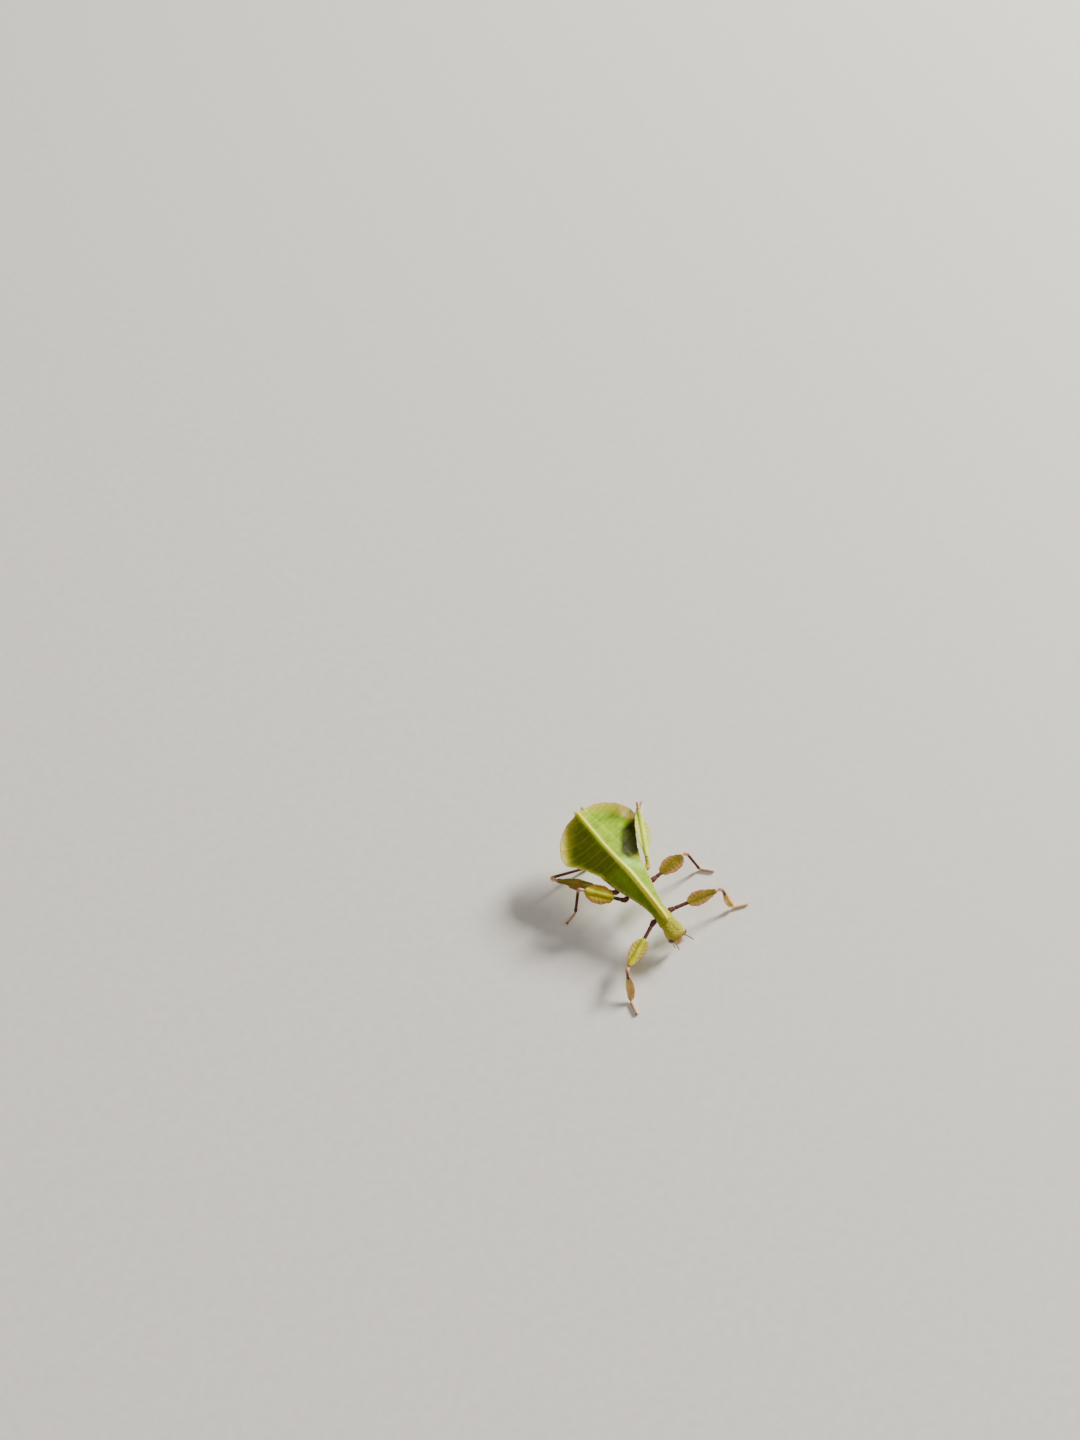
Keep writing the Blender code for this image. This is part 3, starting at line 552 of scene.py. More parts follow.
# Cream band along the margin, widest at the left corner, where it is strengthened as a painted highlight, and wider
# on the right rear lobe as painted light
corner = hump(y, 6.3 * MM, 0.8 * MM) * (x > 0)
# Painted light on the right rear lobe, where the turned-up margin is drawn paler and wider
painted_right_lobe_light = hump(y, 7.3 * MM, 1.3 * MM) * (x < 0)
band = 0.40 * MM + 0.90 * MM * corner + 0.75 * MM * painted_right_lobe_light
cream = smooth_step(far * half_width, half_width - band, half_width - 0.3 * band)
cream = cream * smooth_step(y, np.where(x > 0, 3.8, 5.4) * MM, np.where(x > 0, 5.8, 7.0) * MM)
# Yellow margin band, wider on the right rear lobe as painted light
yellow_width = 1.35 * MM + 1.0 * MM * painted_right_lobe_light
yellow = smooth_step(far * half_width, half_width - yellow_width, half_width - 0.15 * MM)
# Painted shade: the yellow margin fades along the right front edge of the abdomen
yellow = yellow * (1 - 0.85 * (x < 0) * (1 - smooth_step(y, 5.2 * MM, 6.6 * MM)))
# Painted shade: a dark spot on the left rear, just inside the turned-up margin
painted_shade_spot = spot(2.8, 7.0, 0.6, 0.5)
body_masks = {
    "keel": hump(x, 0, 0.40 * MM - 0.12 * MM * smooth_step(middle_y, 0.0, 4.0 * MM)) * np.where(
        is_top, 1, 0.2) * smooth_step(middle_y, -5.6 * MM, -4.6 * MM),
    "vein": np.clip(vein + 0.5 * minor, 0, 1),
    "abdomen": opened * np.where(is_top, 1, 0.5),
    "tail": smooth_step(y, 7.3 * MM, 9.2 * MM),
    "neck": 1 - smooth_step(y, -3.5 * MM, 0.5 * MM),
    "margin": yellow * opened * (1 - 0.8 * painted_shadow),
    "edge": smooth_step(far * half_width, half_width - 0.26 * MM, half_width) * opened * (1 - 0.6 * painted_shadow),
    "head": 1 - smooth_step(middle_y, -5.6 * MM, -3.4 * MM),
    "face": 1 - smooth_step(middle_y, -7.15 * MM, -6.75 * MM),
    "cheek": smooth_step(far, 0.55, 0.9) * as_head * smooth_step(middle_y, -7.0 * MM, -6.6 * MM),
    # Tan edges of the thorax, weaker on the right side as painted shade
    "thorax_edge": smooth_step(far, 0.80, 0.98) * (1 - opened) * (1 - as_head) * (1 - 0.55 * (x < 0)),
    # Painted highlight: pale mint spots left of the keel at the waist
    "painted_mint_highlight": spot(0.8, 1.7, 0.55, 0.6) + 0.6 * spot(1.9, 0.9, 0.7, 0.6),
    # Painted shade over the right half of thorax and abdomen, eased where the right rear lobe's margin takes painted
    # light
    "painted_right_shade": (0.45 + 0.3 * opened) * smooth_step(-x, 0.15 * MM, 0.6 * MM) * (
        1 - as_head) * is_top * (1 - 0.5 * yellow * painted_right_lobe_light),
    # Cream margin, laid on more strongly at the left corner as a painted highlight
    "cream": cream * opened * (1 - painted_shadow) * (1 + 0.8 * corner) * (1 - 0.7 * painted_shade_spot),
    "corner": corner * opened,
    # Painted shadow wedge, with the painted shade spot at the left rear
    "painted_shadow": painted_shadow + 0.6 * painted_shade_spot,
    "grain": np.clip(grains / (0.06 * MM), 0, 1),
    "under": 1.0 - is_top,
}

leaf, wire, shader = finish_of("leaf_skin", {
    "Subsurface Weight": 0.15, "Subsurface Radius": (0.9, 1.0, 0.3), "Subsurface Scale": 0.30 * MM,
    "Specular IOR Level": 0.10})
clouds = wire.noise(1.3 * MM, 4.0)
specks = wire.noise(0.16 * MM, 3.0)
streaks = wire.noise(0.5 * MM, 3.0, 0.5, (1.0, 3.0, 1.0))
green = clouds.between(0.30, 0.72).blend(tone(116, 158, 8), tone(162, 200, 14))
green = (wire.mask("abdomen") * streaks.between(0.45, 0.75) * 0.35).blend(green, tone(206, 226, 40))
green = (wire.mask("under") * 0.6).blend(green, tone(140, 168, 62))
# Painted shade: the right half turns a dark brownish olive
green = (wire.mask("painted_right_shade") * (0.55 + 0.6 * clouds)).clamped().blend(green, tone(100, 84, 40))
green = (wire.mask("vein") * (0.3 - 0.15 * wire.mask("painted_right_shade"))).blend(green, tone(208, 226, 60))
skull = specks.between(0.3, 0.7).blend(tone(166, 158, 16), tone(204, 196, 54))
green = (wire.mask("head") * 0.9).blend(green, skull)
green = (wire.mask("cheek") * 0.6).blend(green, tone(200, 182, 84))
# Painted highlight: pale mint green over the spots at the waist
green = (wire.mask("painted_mint_highlight") * 0.9).clamped().blend(green, tone(180, 236, 118))
green = (wire.mask("thorax_edge") * 0.7).blend(green, tone(214, 168, 104))
margin_tone = specks.between(0.35, 0.65).blend(tone(218, 206, 44), tone(240, 230, 96))
green = (wire.mask("margin") * (0.5 + 0.6 * clouds)).clamped().blend(green, margin_tone)
ivory = clouds.between(0.35, 0.65).blend(tone(240, 206, 96), tone(250, 240, 134))
# Painted highlight: at the left corner the cream turns a paler ivory
ivory = (wire.mask("corner") * 0.8).blend(ivory, tone(255, 234, 146))
green = (wire.mask("cream") * (0.4 + 1.1 * clouds)).clamped().blend(green, ivory)
# Painted shadow: the dark wedge and the rear spot turn the green a dark olive
green = (wire.mask("painted_shadow") * (0.6 + 0.75 * clouds)).clamped().blend(green, tone(54, 56, 6))
fleck = (wire.mask("edge") * (0.35 + specks)).between(0.40, 0.90)
green = fleck.blend(green, specks.between(0.4, 0.6).blend(tone(160, 92, 62), tone(228, 178, 138)))
ridge = wire.mask("neck").blend(tone(252, 255, 84), tone(240, 228, 76))
ridge = wire.mask("tail").blend(ridge, tone(244, 230, 56))
green = wire.mask("keel").between(0.30, 0.75).blend(green, ridge)
green = (wire.mask("grain") * 0.35).blend(green, tone(220, 214, 120))
green = (wire.mask("face") * 0.8).blend(green, tone(172, 128, 62))
join(green, shader, "Base Color")
join(0.50 + 0.2 * specks, shader, "Roughness")
net = (1 - wire.cells(0.42 * MM, "DISTANCE_TO_EDGE").between(0.0, 0.07)) * wire.mask("abdomen")
fine = wire.noise(0.05 * MM, 2.0)
join(fine.bump(0.007 * MM, 0.7, net.bump(0.010 * MM, 0.35)), shader, "Normal")

body_skin = lay_skin("body_skin", leaf, (body, body_masks))
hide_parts("head", "prothorax", "mesothorax", "metathorax", "abdomen")
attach(body_skin, "root")


# Eyes
# Round compound eyes, brown and glossy, each sunk a little into the side of the head.
# Hundreds of small lenses give them a fine honeycomb.
EYE_ROWS = 40
EYE_AROUND = 64
EYE_FLATNESS = (0.92, 1.0, 0.96)


def ball(centre, radii, rows, around):
    """Rings of an egg shape whose poles point sideways: cosine and sine of two angles."""
    tilt = np.linspace(0.02, math.pi - 0.02, rows)[:, None]
    turn = np.linspace(0, math.tau, around, endpoint=False)[None, :]
    unit = np.stack([np.cos(tilt) + 0 * turn, np.sin(tilt) * np.cos(turn), np.sin(tilt) * np.sin(turn)], -1)
    return centre + unit * radii


eye_finish, wire, shader = finish_of("eye_lens", {"Coat Weight": 0.8, "Coat Roughness": 0.10,
                                                  "Specular IOR Level": 0.6})
lens = wire.cells(0.024 * MM, "SMOOTH_F1")
bands = wire.noise(0.13 * MM, 2.0, 0.5, (0.4, 1.6, 1.6))
join(bands.between(0.38, 0.62).blend(tone(58, 34, 18), tone(122, 92, 50)), shader, "Base Color")
join(0.24 + 0.1 * lens, shader, "Roughness")
join((1 - lens).bump(0.006 * MM, 0.5), shader, "Normal")

for side in ("left", "right"):
    low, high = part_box(f"eye_{side}")
    radii = (high.z - low.z) / 2 * np.array(EYE_FLATNESS)
    eye = lay_skin(f"eye_ball_{side}", eye_finish, (ball(eye_places[side], radii, EYE_ROWS, EYE_AROUND), {}))
    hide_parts(f"eye_{side}")
    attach(eye, "root")


# Feelers
# Short feelers of nine beads, one from each front corner of the head. The first two beads
# are stout, the next ones thin, and the last one is long with a rounded tip.
FEELER_LENGTH = 1.30 * MM
FEELER_SUNK = 0.18 * MM
FEELER_SPREAD = 0.30
FEELER_RISE = 0.10 * MM
FEELER_JOINTS = (0.0, 0.17, 0.27, 0.36, 0.45, 0.54, 0.63, 0.72, 0.82, 1.0)
FEELER_RADII = (0.120, 0.100, 0.070, 0.066, 0.064, 0.063, 0.062, 0.060, 0.052)
FEELER_ROWS = 150
TUBE_AROUND = 24


def carried(path, aside):
    """Unit vectors along and square to a path at each point. The first square one is
    carried on from aside without twist, and the second stands on both."""
    tangent = np.gradient(path, axis=0)
    tangent /= np.linalg.norm(tangent, axis=1, keepdims=True)
    wide = np.empty_like(path)
    for step, along in enumerate(tangent):
        aside = aside - along * (along @ aside)
        aside = aside / np.linalg.norm(aside)
        wide[step] = aside
    return tangent, wide, np.cross(tangent, wide)


def tube(path, aside, across_radius, up_radius, around=TUBE_AROUND):
    """Oval rings along a path, with a radius in each of its two square directions."""
    _, wide, up = carried(path, np.asarray(aside, float))
    turn = np.linspace(0, math.tau, around, endpoint=False)[None, :, None]
    return (path[:, None] + np.cos(turn) * wide[:, None] * across_radius[:, None, None]
            + np.sin(turn) * up[:, None] * up_radius[:, None, None])


def bead_radii(run, joints, radii):
    """Radius along a string of beads: each widens from a waist to a bulge near its far
    end, as the square root of a parabola, and the string closes in a rounded tip."""
    which = np.clip(np.searchsorted(joints, run, side="right") - 1, 0, len(radii) - 1)
    joints = np.asarray(joints)
    inside = (run - joints[which]) / (joints[which + 1] - joints[which])
    bulge = 0.72 + 0.28 * np.sqrt(np.clip(4 * inside ** 1.4 * (1 - inside ** 1.4), 0, 1))
    tip = np.sqrt(np.clip(1 - np.clip((run - 0.93) / 0.07, 0, 1) ** 2, 0.004, 1))
    return np.asarray(radii)[which] * bulge * tip


feeler_finish, wire, shader = finish_of("feeler_skin", {
    "Subsurface Weight": 0.1, "Subsurface Radius": (1.0, 0.7, 0.3), "Subsurface Scale": 0.08 * MM,
    "Specular IOR Level": 0.3})
specks = wire.noise(0.10 * MM, 3.0)
pale = specks.between(0.3, 0.7).blend(tone(158, 122, 66), tone(200, 166, 104))
pale = wire.mask("far").between(0.2, 0.9).blend(pale, tone(132, 88, 50))
join((wire.mask("joint") * 0.8).clamped().blend(pale, tone(88, 54, 32)), shader, "Base Color")
join(0.42 + 0.18 * specks, shader, "Roughness")
join(wire.noise(0.03 * MM, 2.0).bump(0.005 * MM, 0.7), shader, "Normal")

run = np.linspace(0, 1, FEELER_ROWS)
feeler_way = feeler_out * FEELER_SPREAD + np.array([0.0, -1.0, 0.0])
feeler_way /= np.linalg.norm(feeler_way)
path = feeler_start + np.outer(run * FEELER_LENGTH - FEELER_SUNK, feeler_way)
path[:, 2] += FEELER_RISE * np.sin(math.pi * run)
beads = bead_radii(run, FEELER_JOINTS, FEELER_RADII) * MM
joint_mask = sum(hump(run, place, 0.012) for place in FEELER_JOINTS[1:-1])[:, None]
for side, sign in (("left", 1), ("right", -1)):
    rings = tube(path, (0, 0, 1), beads, beads) * (sign, 1, 1)
    feeler = lay_skin(f"feeler_{side}", feeler_finish, (rings, {"joint": joint_mask, "far": run[:, None]}))
    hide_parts(f"antenna_{side}")
    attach(feeler, "root")


# Mouth
# Biting mouth under the front of the head: a face plate and a notched upper lip in front,
# two dark-tipped jaws, a lower lip behind, and two pairs of small jointed palps.
mouth_finish, wire, shader = finish_of("mouth_skin", {"Specular IOR Level": 0.45, "Coat Weight": 0.1})
specks = wire.noise(0.09 * MM, 3.0)
tan = specks.between(0.3, 0.7).blend(tone(186, 150, 92), tone(214, 184, 124))
join(wire.mask("dark").between(0.2, 0.8).blend(tan, tone(74, 36, 24)), shader, "Base Color")
join(0.38 + 0.2 * specks, shader, "Roughness")
join(wire.noise(0.03 * MM, 2.0).bump(0.005 * MM, 0.6), shader, "Normal")


def mouth_part(knots, aside, across, up, dark=0.0, notch=0.0, rows=60):
    """A rounded limb of the mouth along a curve through knots, with radii that ease from
    stop to stop along it and a notch in its end, mirrored where it stands off the middle."""
    path = curve_through(np.array(knots), rows) * MM
    share = np.linspace(0, 1, rows)
    cap = np.sqrt(np.clip(1 - np.clip((share - 0.88) / 0.12, 0, 1) ** 2, 0.004, 1))
    across = np.interp(share, np.linspace(0, 1, len(across)), across) * cap * MM
    up = np.interp(share, np.linspace(0, 1, len(up)), up) * cap * MM
    rings = tube(path, aside, across, up)
    rings[..., 2] += notch * MM * share[:, None] ** 6 * hump(rings[..., 0], 0, 0.08 * MM)
    masks = {"dark": (smooth_step(share, 0.55, 0.85) * dark)[:, None]}
    if knots[0][0] == 0:
        return [(rings, masks)]
    return [(rings, masks), (rings * (-1, 1, 1), masks)]


def palp(knots, joints, radii, rows=70):
    """A jointed palp: a string of beads along a curve through knots, on both sides."""
    path = curve_through(np.array(knots), rows) * MM
    share = np.linspace(0, 1, rows)
    beads = bead_radii(share, joints, radii) * MM
    rings = tube(path, (1, 0, 0), beads, beads * 0.8, 16)
    masks = {"dark": sum(0.3 * hump(share, place, 0.02) for place in joints[1:-1])[:, None]}
    return [(rings, masks), (rings * (-1, 1, 1), masks)]


face_plate = lay_skin("face_plate", mouth_finish, *mouth_part(
    ((0, -6.86, 2.00), (0, -7.08, 1.74), (0, -7.20, 1.50), (0, -7.22, 1.34)), (1, 0, 0),
    (0.20, 0.33, 0.33, 0.28), (0.05, 0.12, 0.10, 0.07)))
upper_lip = lay_skin("upper_lip", mouth_finish, *mouth_part(
    ((0, -7.02, 1.50), (0, -7.19, 1.30), (0, -7.24, 1.12), (0, -7.20, 0.96)), (1, 0, 0),
    (0.20, 0.26, 0.27, 0.22), (0.05, 0.08, 0.07, 0.05), notch=0.10))
jaws = lay_skin("jaws", mouth_finish, *mouth_part(
    ((0.34, -6.86, 1.62), (0.36, -7.02, 1.32), (0.22, -7.16, 1.02), (0.04, -7.20, 0.92)), (0, 1, 0),
    (0.22, 0.20, 0.13, 0.05), (0.12, 0.12, 0.09, 0.04), dark=1.0))
lower_lip = lay_skin("lower_lip", mouth_finish, *mouth_part(
    ((0, -6.62, 1.55), (0, -6.78, 1.22), (0, -6.92, 0.98), (0, -7.00, 0.86)), (1, 0, 0),
    (0.30, 0.32, 0.26, 0.20), (0.10, 0.09, 0.07, 0.05)))
palps = lay_skin("palps", mouth_finish, *palp(
    ((0.36, -6.74, 1.50), (0.56, -6.86, 1.20), (0.60, -7.06, 0.90), (0.50, -7.28, 0.70)),
    (0.0, 0.12, 0.24, 0.50, 0.74, 1.0), (0.055, 0.058, 0.062, 0.062, 0.058)), *palp(
    ((0.20, -6.74, 1.16), (0.32, -6.84, 0.92), (0.34, -6.98, 0.72)), (0.0, 0.25, 0.58, 1.0),
    (0.048, 0.052, 0.052)))
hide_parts("mouthparts")
for part in (face_plate, upper_lip, jaws, lower_lip, palps):
    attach(part, "root")


# Tail leaves
# Two small flat leaves under the tip of the abdomen, thin and browner towards their ends.
TAIL_LEAF_OFFSET = 0.36 * MM
TAIL_LEAF_START = -0.30 * MM
TAIL_LEAF_LENGTH = 0.72 * MM
TAIL_LEAF_ROWS = 60

run = np.linspace(0, 1, TAIL_LEAF_ROWS)
leaf_y = TAIL_Y + TAIL_LEAF_START + run * TAIL_LEAF_LENGTH
leaf_z = ridge_height(leaf_y) - ABDOMEN_DEPTH[-1] * MM / 2 - 0.05 * MM
path = np.stack([TAIL_LEAF_OFFSET + 0.12 * MM * run, leaf_y, leaf_z], -1)
wide = (0.10 + 0.12 * np.sin(math.pi * np.clip(run * 0.9 + 0.05, 0, 1)) ** 0.8) * np.sqrt(1 - 0.97 * run ** 6) * MM
for side, sign in (("left", 1), ("right", -1)):
    rings = turned(tube(path, (1, 0, 0), wide, 0.05 * MM * np.sqrt(1 - 0.97 * run ** 6)) * (sign, 1, 1))
    tail_leaf = lay_skin(f"tail_leaf_{side}", leaf, (rings, {
        "cream": 0.35, "margin": 0.6, "edge": smooth_step(run, 0.6, 1.0)[:, None] * 0.8, "under": 0.3}))
    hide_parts(f"cercus_{side}")
    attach(tail_leaf, "root")


# Legs
# Six legs of one skin each, from the socket in the thorax to the toe. The thighs carry
# thin leaf-like lobes with toothed edges, and the shins and feet are slim and jointed.
JOINT_GAP = 0.25 * MM
COXA_RADIUS = 0.27 * MM
SHAFT_RADIUS = 0.19 * MM
LOBE_THICKNESS = 0.11 * MM
BEND_RADIUS = 0.32 * MM
BEND_START = 0.05 * MM
HEEL_Z = 0.18 * MM
ROOT_SUNK = 0.45 * MM
FOOT_SHARE = 0.87
LEG_SIZES = {
    "front": dict(y=-4.35, coxa=0.75, femur=4.35, shin=3.10, tarsus=1.6, front_lobe=0.95, rear_lobe=0.88,
                  shin_lobe=0.42),
    "mid": dict(y=-0.85, coxa=0.75, femur=3.25, shin=3.60, tarsus=1.6, front_lobe=1.04, rear_lobe=0.96,
                shin_lobe=0.0),
    "hind": dict(y=0.55, coxa=0.75, femur=5.45, shin=5.20, tarsus=1.8, front_lobe=0.92, rear_lobe=0.80,
                 shin_lobe=0.0),
}
# How far the front and the rear lobe stand out along the thigh, as (share, share)
LOBE_STOPS = {
    "front": (((0, 0), (0.20, 0), (0.30, 0.72), (0.42, 1), (0.60, 0.95), (0.80, 0.62), (0.94, 0.34), (1, 0)),
              ((0, 0), (0.20, 0), (0.32, 0.70), (0.46, 1), (0.64, 0.96), (0.84, 0.62), (0.95, 0.34), (1, 0))),
    "mid": (((0, 0), (0.16, 0.66), (0.44, 1), (0.68, 0.98), (0.86, 0.70), (0.96, 0.38), (1, 0)),
            ((0, 0), (0.16, 0.66), (0.42, 1), (0.66, 0.96), (0.86, 0.66), (0.96, 0.36), (1, 0))),
    "hind": (((0, 0.12), (0.12, 0.42), (0.38, 0.90), (0.56, 1), (0.68, 0.86), (0.76, 0.46), (0.90, 0.30), (1, 0)),
             ((0, 0.12), (0.12, 0.36), (0.40, 0.86), (0.62, 1), (0.80, 0.80), (0.92, 0.44), (1, 0))),
}
LEG_POSE = {
    ("front", "left"): dict(root=12, femur=(15, 2), shin=66, tarsus=25, tilt=12),
    ("front", "right"): dict(root=12, femur=(22, -6), shin=60, tarsus=72, tilt=12),
    ("mid", "left"): dict(root=12, femur=(-2, 2), shin=42, tarsus=50, tilt=10),
    ("mid", "right"): dict(root=30, femur=(-51, 6), shin=35, tarsus=15, tilt=-20),
    ("hind", "left"): dict(root=8, femur=(-59, 15), shin=-37, tarsus=-37, tilt=-25),
    ("hind", "right"): dict(root=60, femur=(-57, -8), shin=168, tarsus=-150, tilt=6),
}
SHIN_TWIST = {("front", "left"): math.radians(55)}
# Colours of each thigh's middle, of its rims, and of the leg's root. They differ from leg to leg as painted light and
# shade: the left front, left middle and right hind legs are darker, as painted shade.
LEG_TONES_WITH_PAINTED_SHADE = {
    ("front", "left"): ((114, 100, 16), (142, 124, 30), (150, 98, 54), (184, 130, 82), (84, 44, 36)),
    ("front", "right"): ((190, 192, 26), (222, 220, 64), (212, 172, 80), (236, 200, 128), (84, 44, 36)),
    ("mid", "left"): ((112, 100, 12), (142, 126, 26), (160, 106, 62), (196, 140, 92), (84, 44, 36)),
    ("mid", "right"): ((176, 170, 18), (206, 196, 46), (146, 96, 36), (186, 136, 62), (78, 36, 28)),
    ("hind", "left"): ((206, 236, 48), (230, 250, 88), (240, 224, 110), (250, 240, 156), (160, 158, 44)),
    ("hind", "right"): ((140, 116, 40), (170, 142, 60), (146, 104, 62), (176, 134, 88), (78, 40, 32)),
}
# Ends of the foot's five joints, and their half widths
FOOT_JOINTS = (0.0, 0.32, 0.50, 0.64, 0.76, 1.0)
FOOT_RADII = (0.125, 0.12, 0.115, 0.115, 0.10)
LEG_ROWS = 330
LEG_AROUND = 80


def direction(azimuth, elevation):
    """Unit vector on the left side: azimuth turns forward, elevation up, in degrees."""
    turn = math.radians(azimuth)
    rise = math.radians(elevation)
    return np.array([math.cos(turn) * math.cos(rise), -math.sin(turn) * math.cos(rise), math.sin(rise)])


def corner_length(into, out):
    """How far from the corner between two directions a round bend begins."""
    return BEND_RADIUS * math.tan(math.acos(np.clip(into @ out, -1, 1)) / 2)


def rounded(corners):
    """A line through corners with an arc of the bend radius at each one between."""
    stretch = [corners[0][None]]
    for before, corner, after in zip(corners, corners[1:], corners[2:]):
        into = (corner - before) / np.linalg.norm(corner - before)
        out = (after - corner) / np.linalg.norm(after - corner)
        angle = math.acos(np.clip(into @ out, -1, 1))
        inward = out - into * (into @ out)
        inward = inward / max(np.linalg.norm(inward), 1e-9)
        turn = np.linspace(0, angle, 16)[:, None]
        first = corner - into * corner_length(into, out)
        stretch.append(first + BEND_RADIUS * (np.sin(turn) * into + (1 - np.cos(turn)) * inward))
    return np.vstack(stretch + [corners[-1][None]])


def stepped(place, stops):
    """Values that ease from stop to stop along a line, with S-shaped cubics between."""
    places = np.array([stop[0] for stop in stops])
    values = np.array([stop[1] for stop in stops])
    which = np.clip(np.searchsorted(places, place) - 1, 0, len(places) - 2)
    share = smooth_step(place, places[which], places[which + 1])
    return values[which] + (values[which + 1] - values[which]) * share


def leg_finish(name, core_low, core_high, rim_low, rim_high, root):
    """The skin of one leg: dark shafts, pale knees and feet, and a thigh whose green
    middle fades to tan rims with a thin brown edge."""
    finish, wire, shader = finish_of(name, {
        "Subsurface Weight": 0.12, "Subsurface Radius": (1.0, 0.8, 0.3), "Subsurface Scale": 0.22 * MM,
        "Specular IOR Level": 0.18})
    clouds = wire.noise(0.8 * MM, 3.0)
    specks = wire.noise(0.12 * MM, 3.0)
    shaft = specks.between(0.3, 0.7).blend(tone(76, 36, 30), tone(116, 64, 50))
    shaft = wire.mask("root").blend(shaft, specks.between(0.3, 0.7).blend(tone(*root), tone(*[c + 28 for c in root])))
    foot = specks.between(0.3, 0.7).blend(tone(186, 138, 112), tone(222, 184, 152))
    shaft = wire.mask("foot").blend(shaft, foot)
    shin_leaf = clouds.between(0.3, 0.7).blend(tone(240, 182, 96), tone(252, 220, 140))
    shin_leaf = (wire.mask("rib") * 0.5).blend(shin_leaf, tone(250, 226, 150))
    shin_leaf = (wire.mask("edge") * (0.4 + specks)).between(0.4, 0.9).blend(shin_leaf, tone(176, 112, 66))
    shaft = wire.mask("orange").blend(shaft, shin_leaf)
    shaft = wire.mask("knee").blend(shaft, specks.between(0.3, 0.7).blend(tone(232, 160, 120), tone(250, 208, 168)))
    thigh = clouds.between(0.3, 0.7).blend(tone(*core_low), tone(*core_high))
    thigh = (wire.mask("rib") * 0.45).blend(thigh, tone(*rim_high))
    rim = (wire.mask("rim") + 0.3 * specks - 0.15).between(0.30, 0.75)
    thigh = rim.blend(thigh, specks.between(0.35, 0.65).blend(tone(*rim_low), tone(*rim_high)))
    thigh = (wire.mask("edge") * (0.5 + specks)).between(0.5, 0.9).blend(thigh, tone(144, 86, 58))
    colour = (wire.mask("leaf") + 0.4 * specks - 0.2).between(0.2, 0.8).blend(shaft, thigh)
    colour = wire.mask("spot").between(0.2, 0.7).blend(colour, tone(66, 34, 22))
    join(colour, shader, "Base Color")
    join(0.52 + 0.2 * specks, shader, "Roughness")
    join(wire.noise(0.045 * MM, 2.0).bump(0.007 * MM, 0.7), shader, "Normal")
    return finish


claw_finish, wire, shader = finish_of("claw_horn", {"Coat Weight": 0.5, "Coat Roughness": 0.2})
along_claw = wire.mask("tip")
join(along_claw.between(0.1, 0.9).blend(tone(150, 98, 62), tone(48, 24, 16)), shader, "Base Color")
join(0.28 + 0.15 * wire.noise(0.04 * MM), shader, "Roughness")

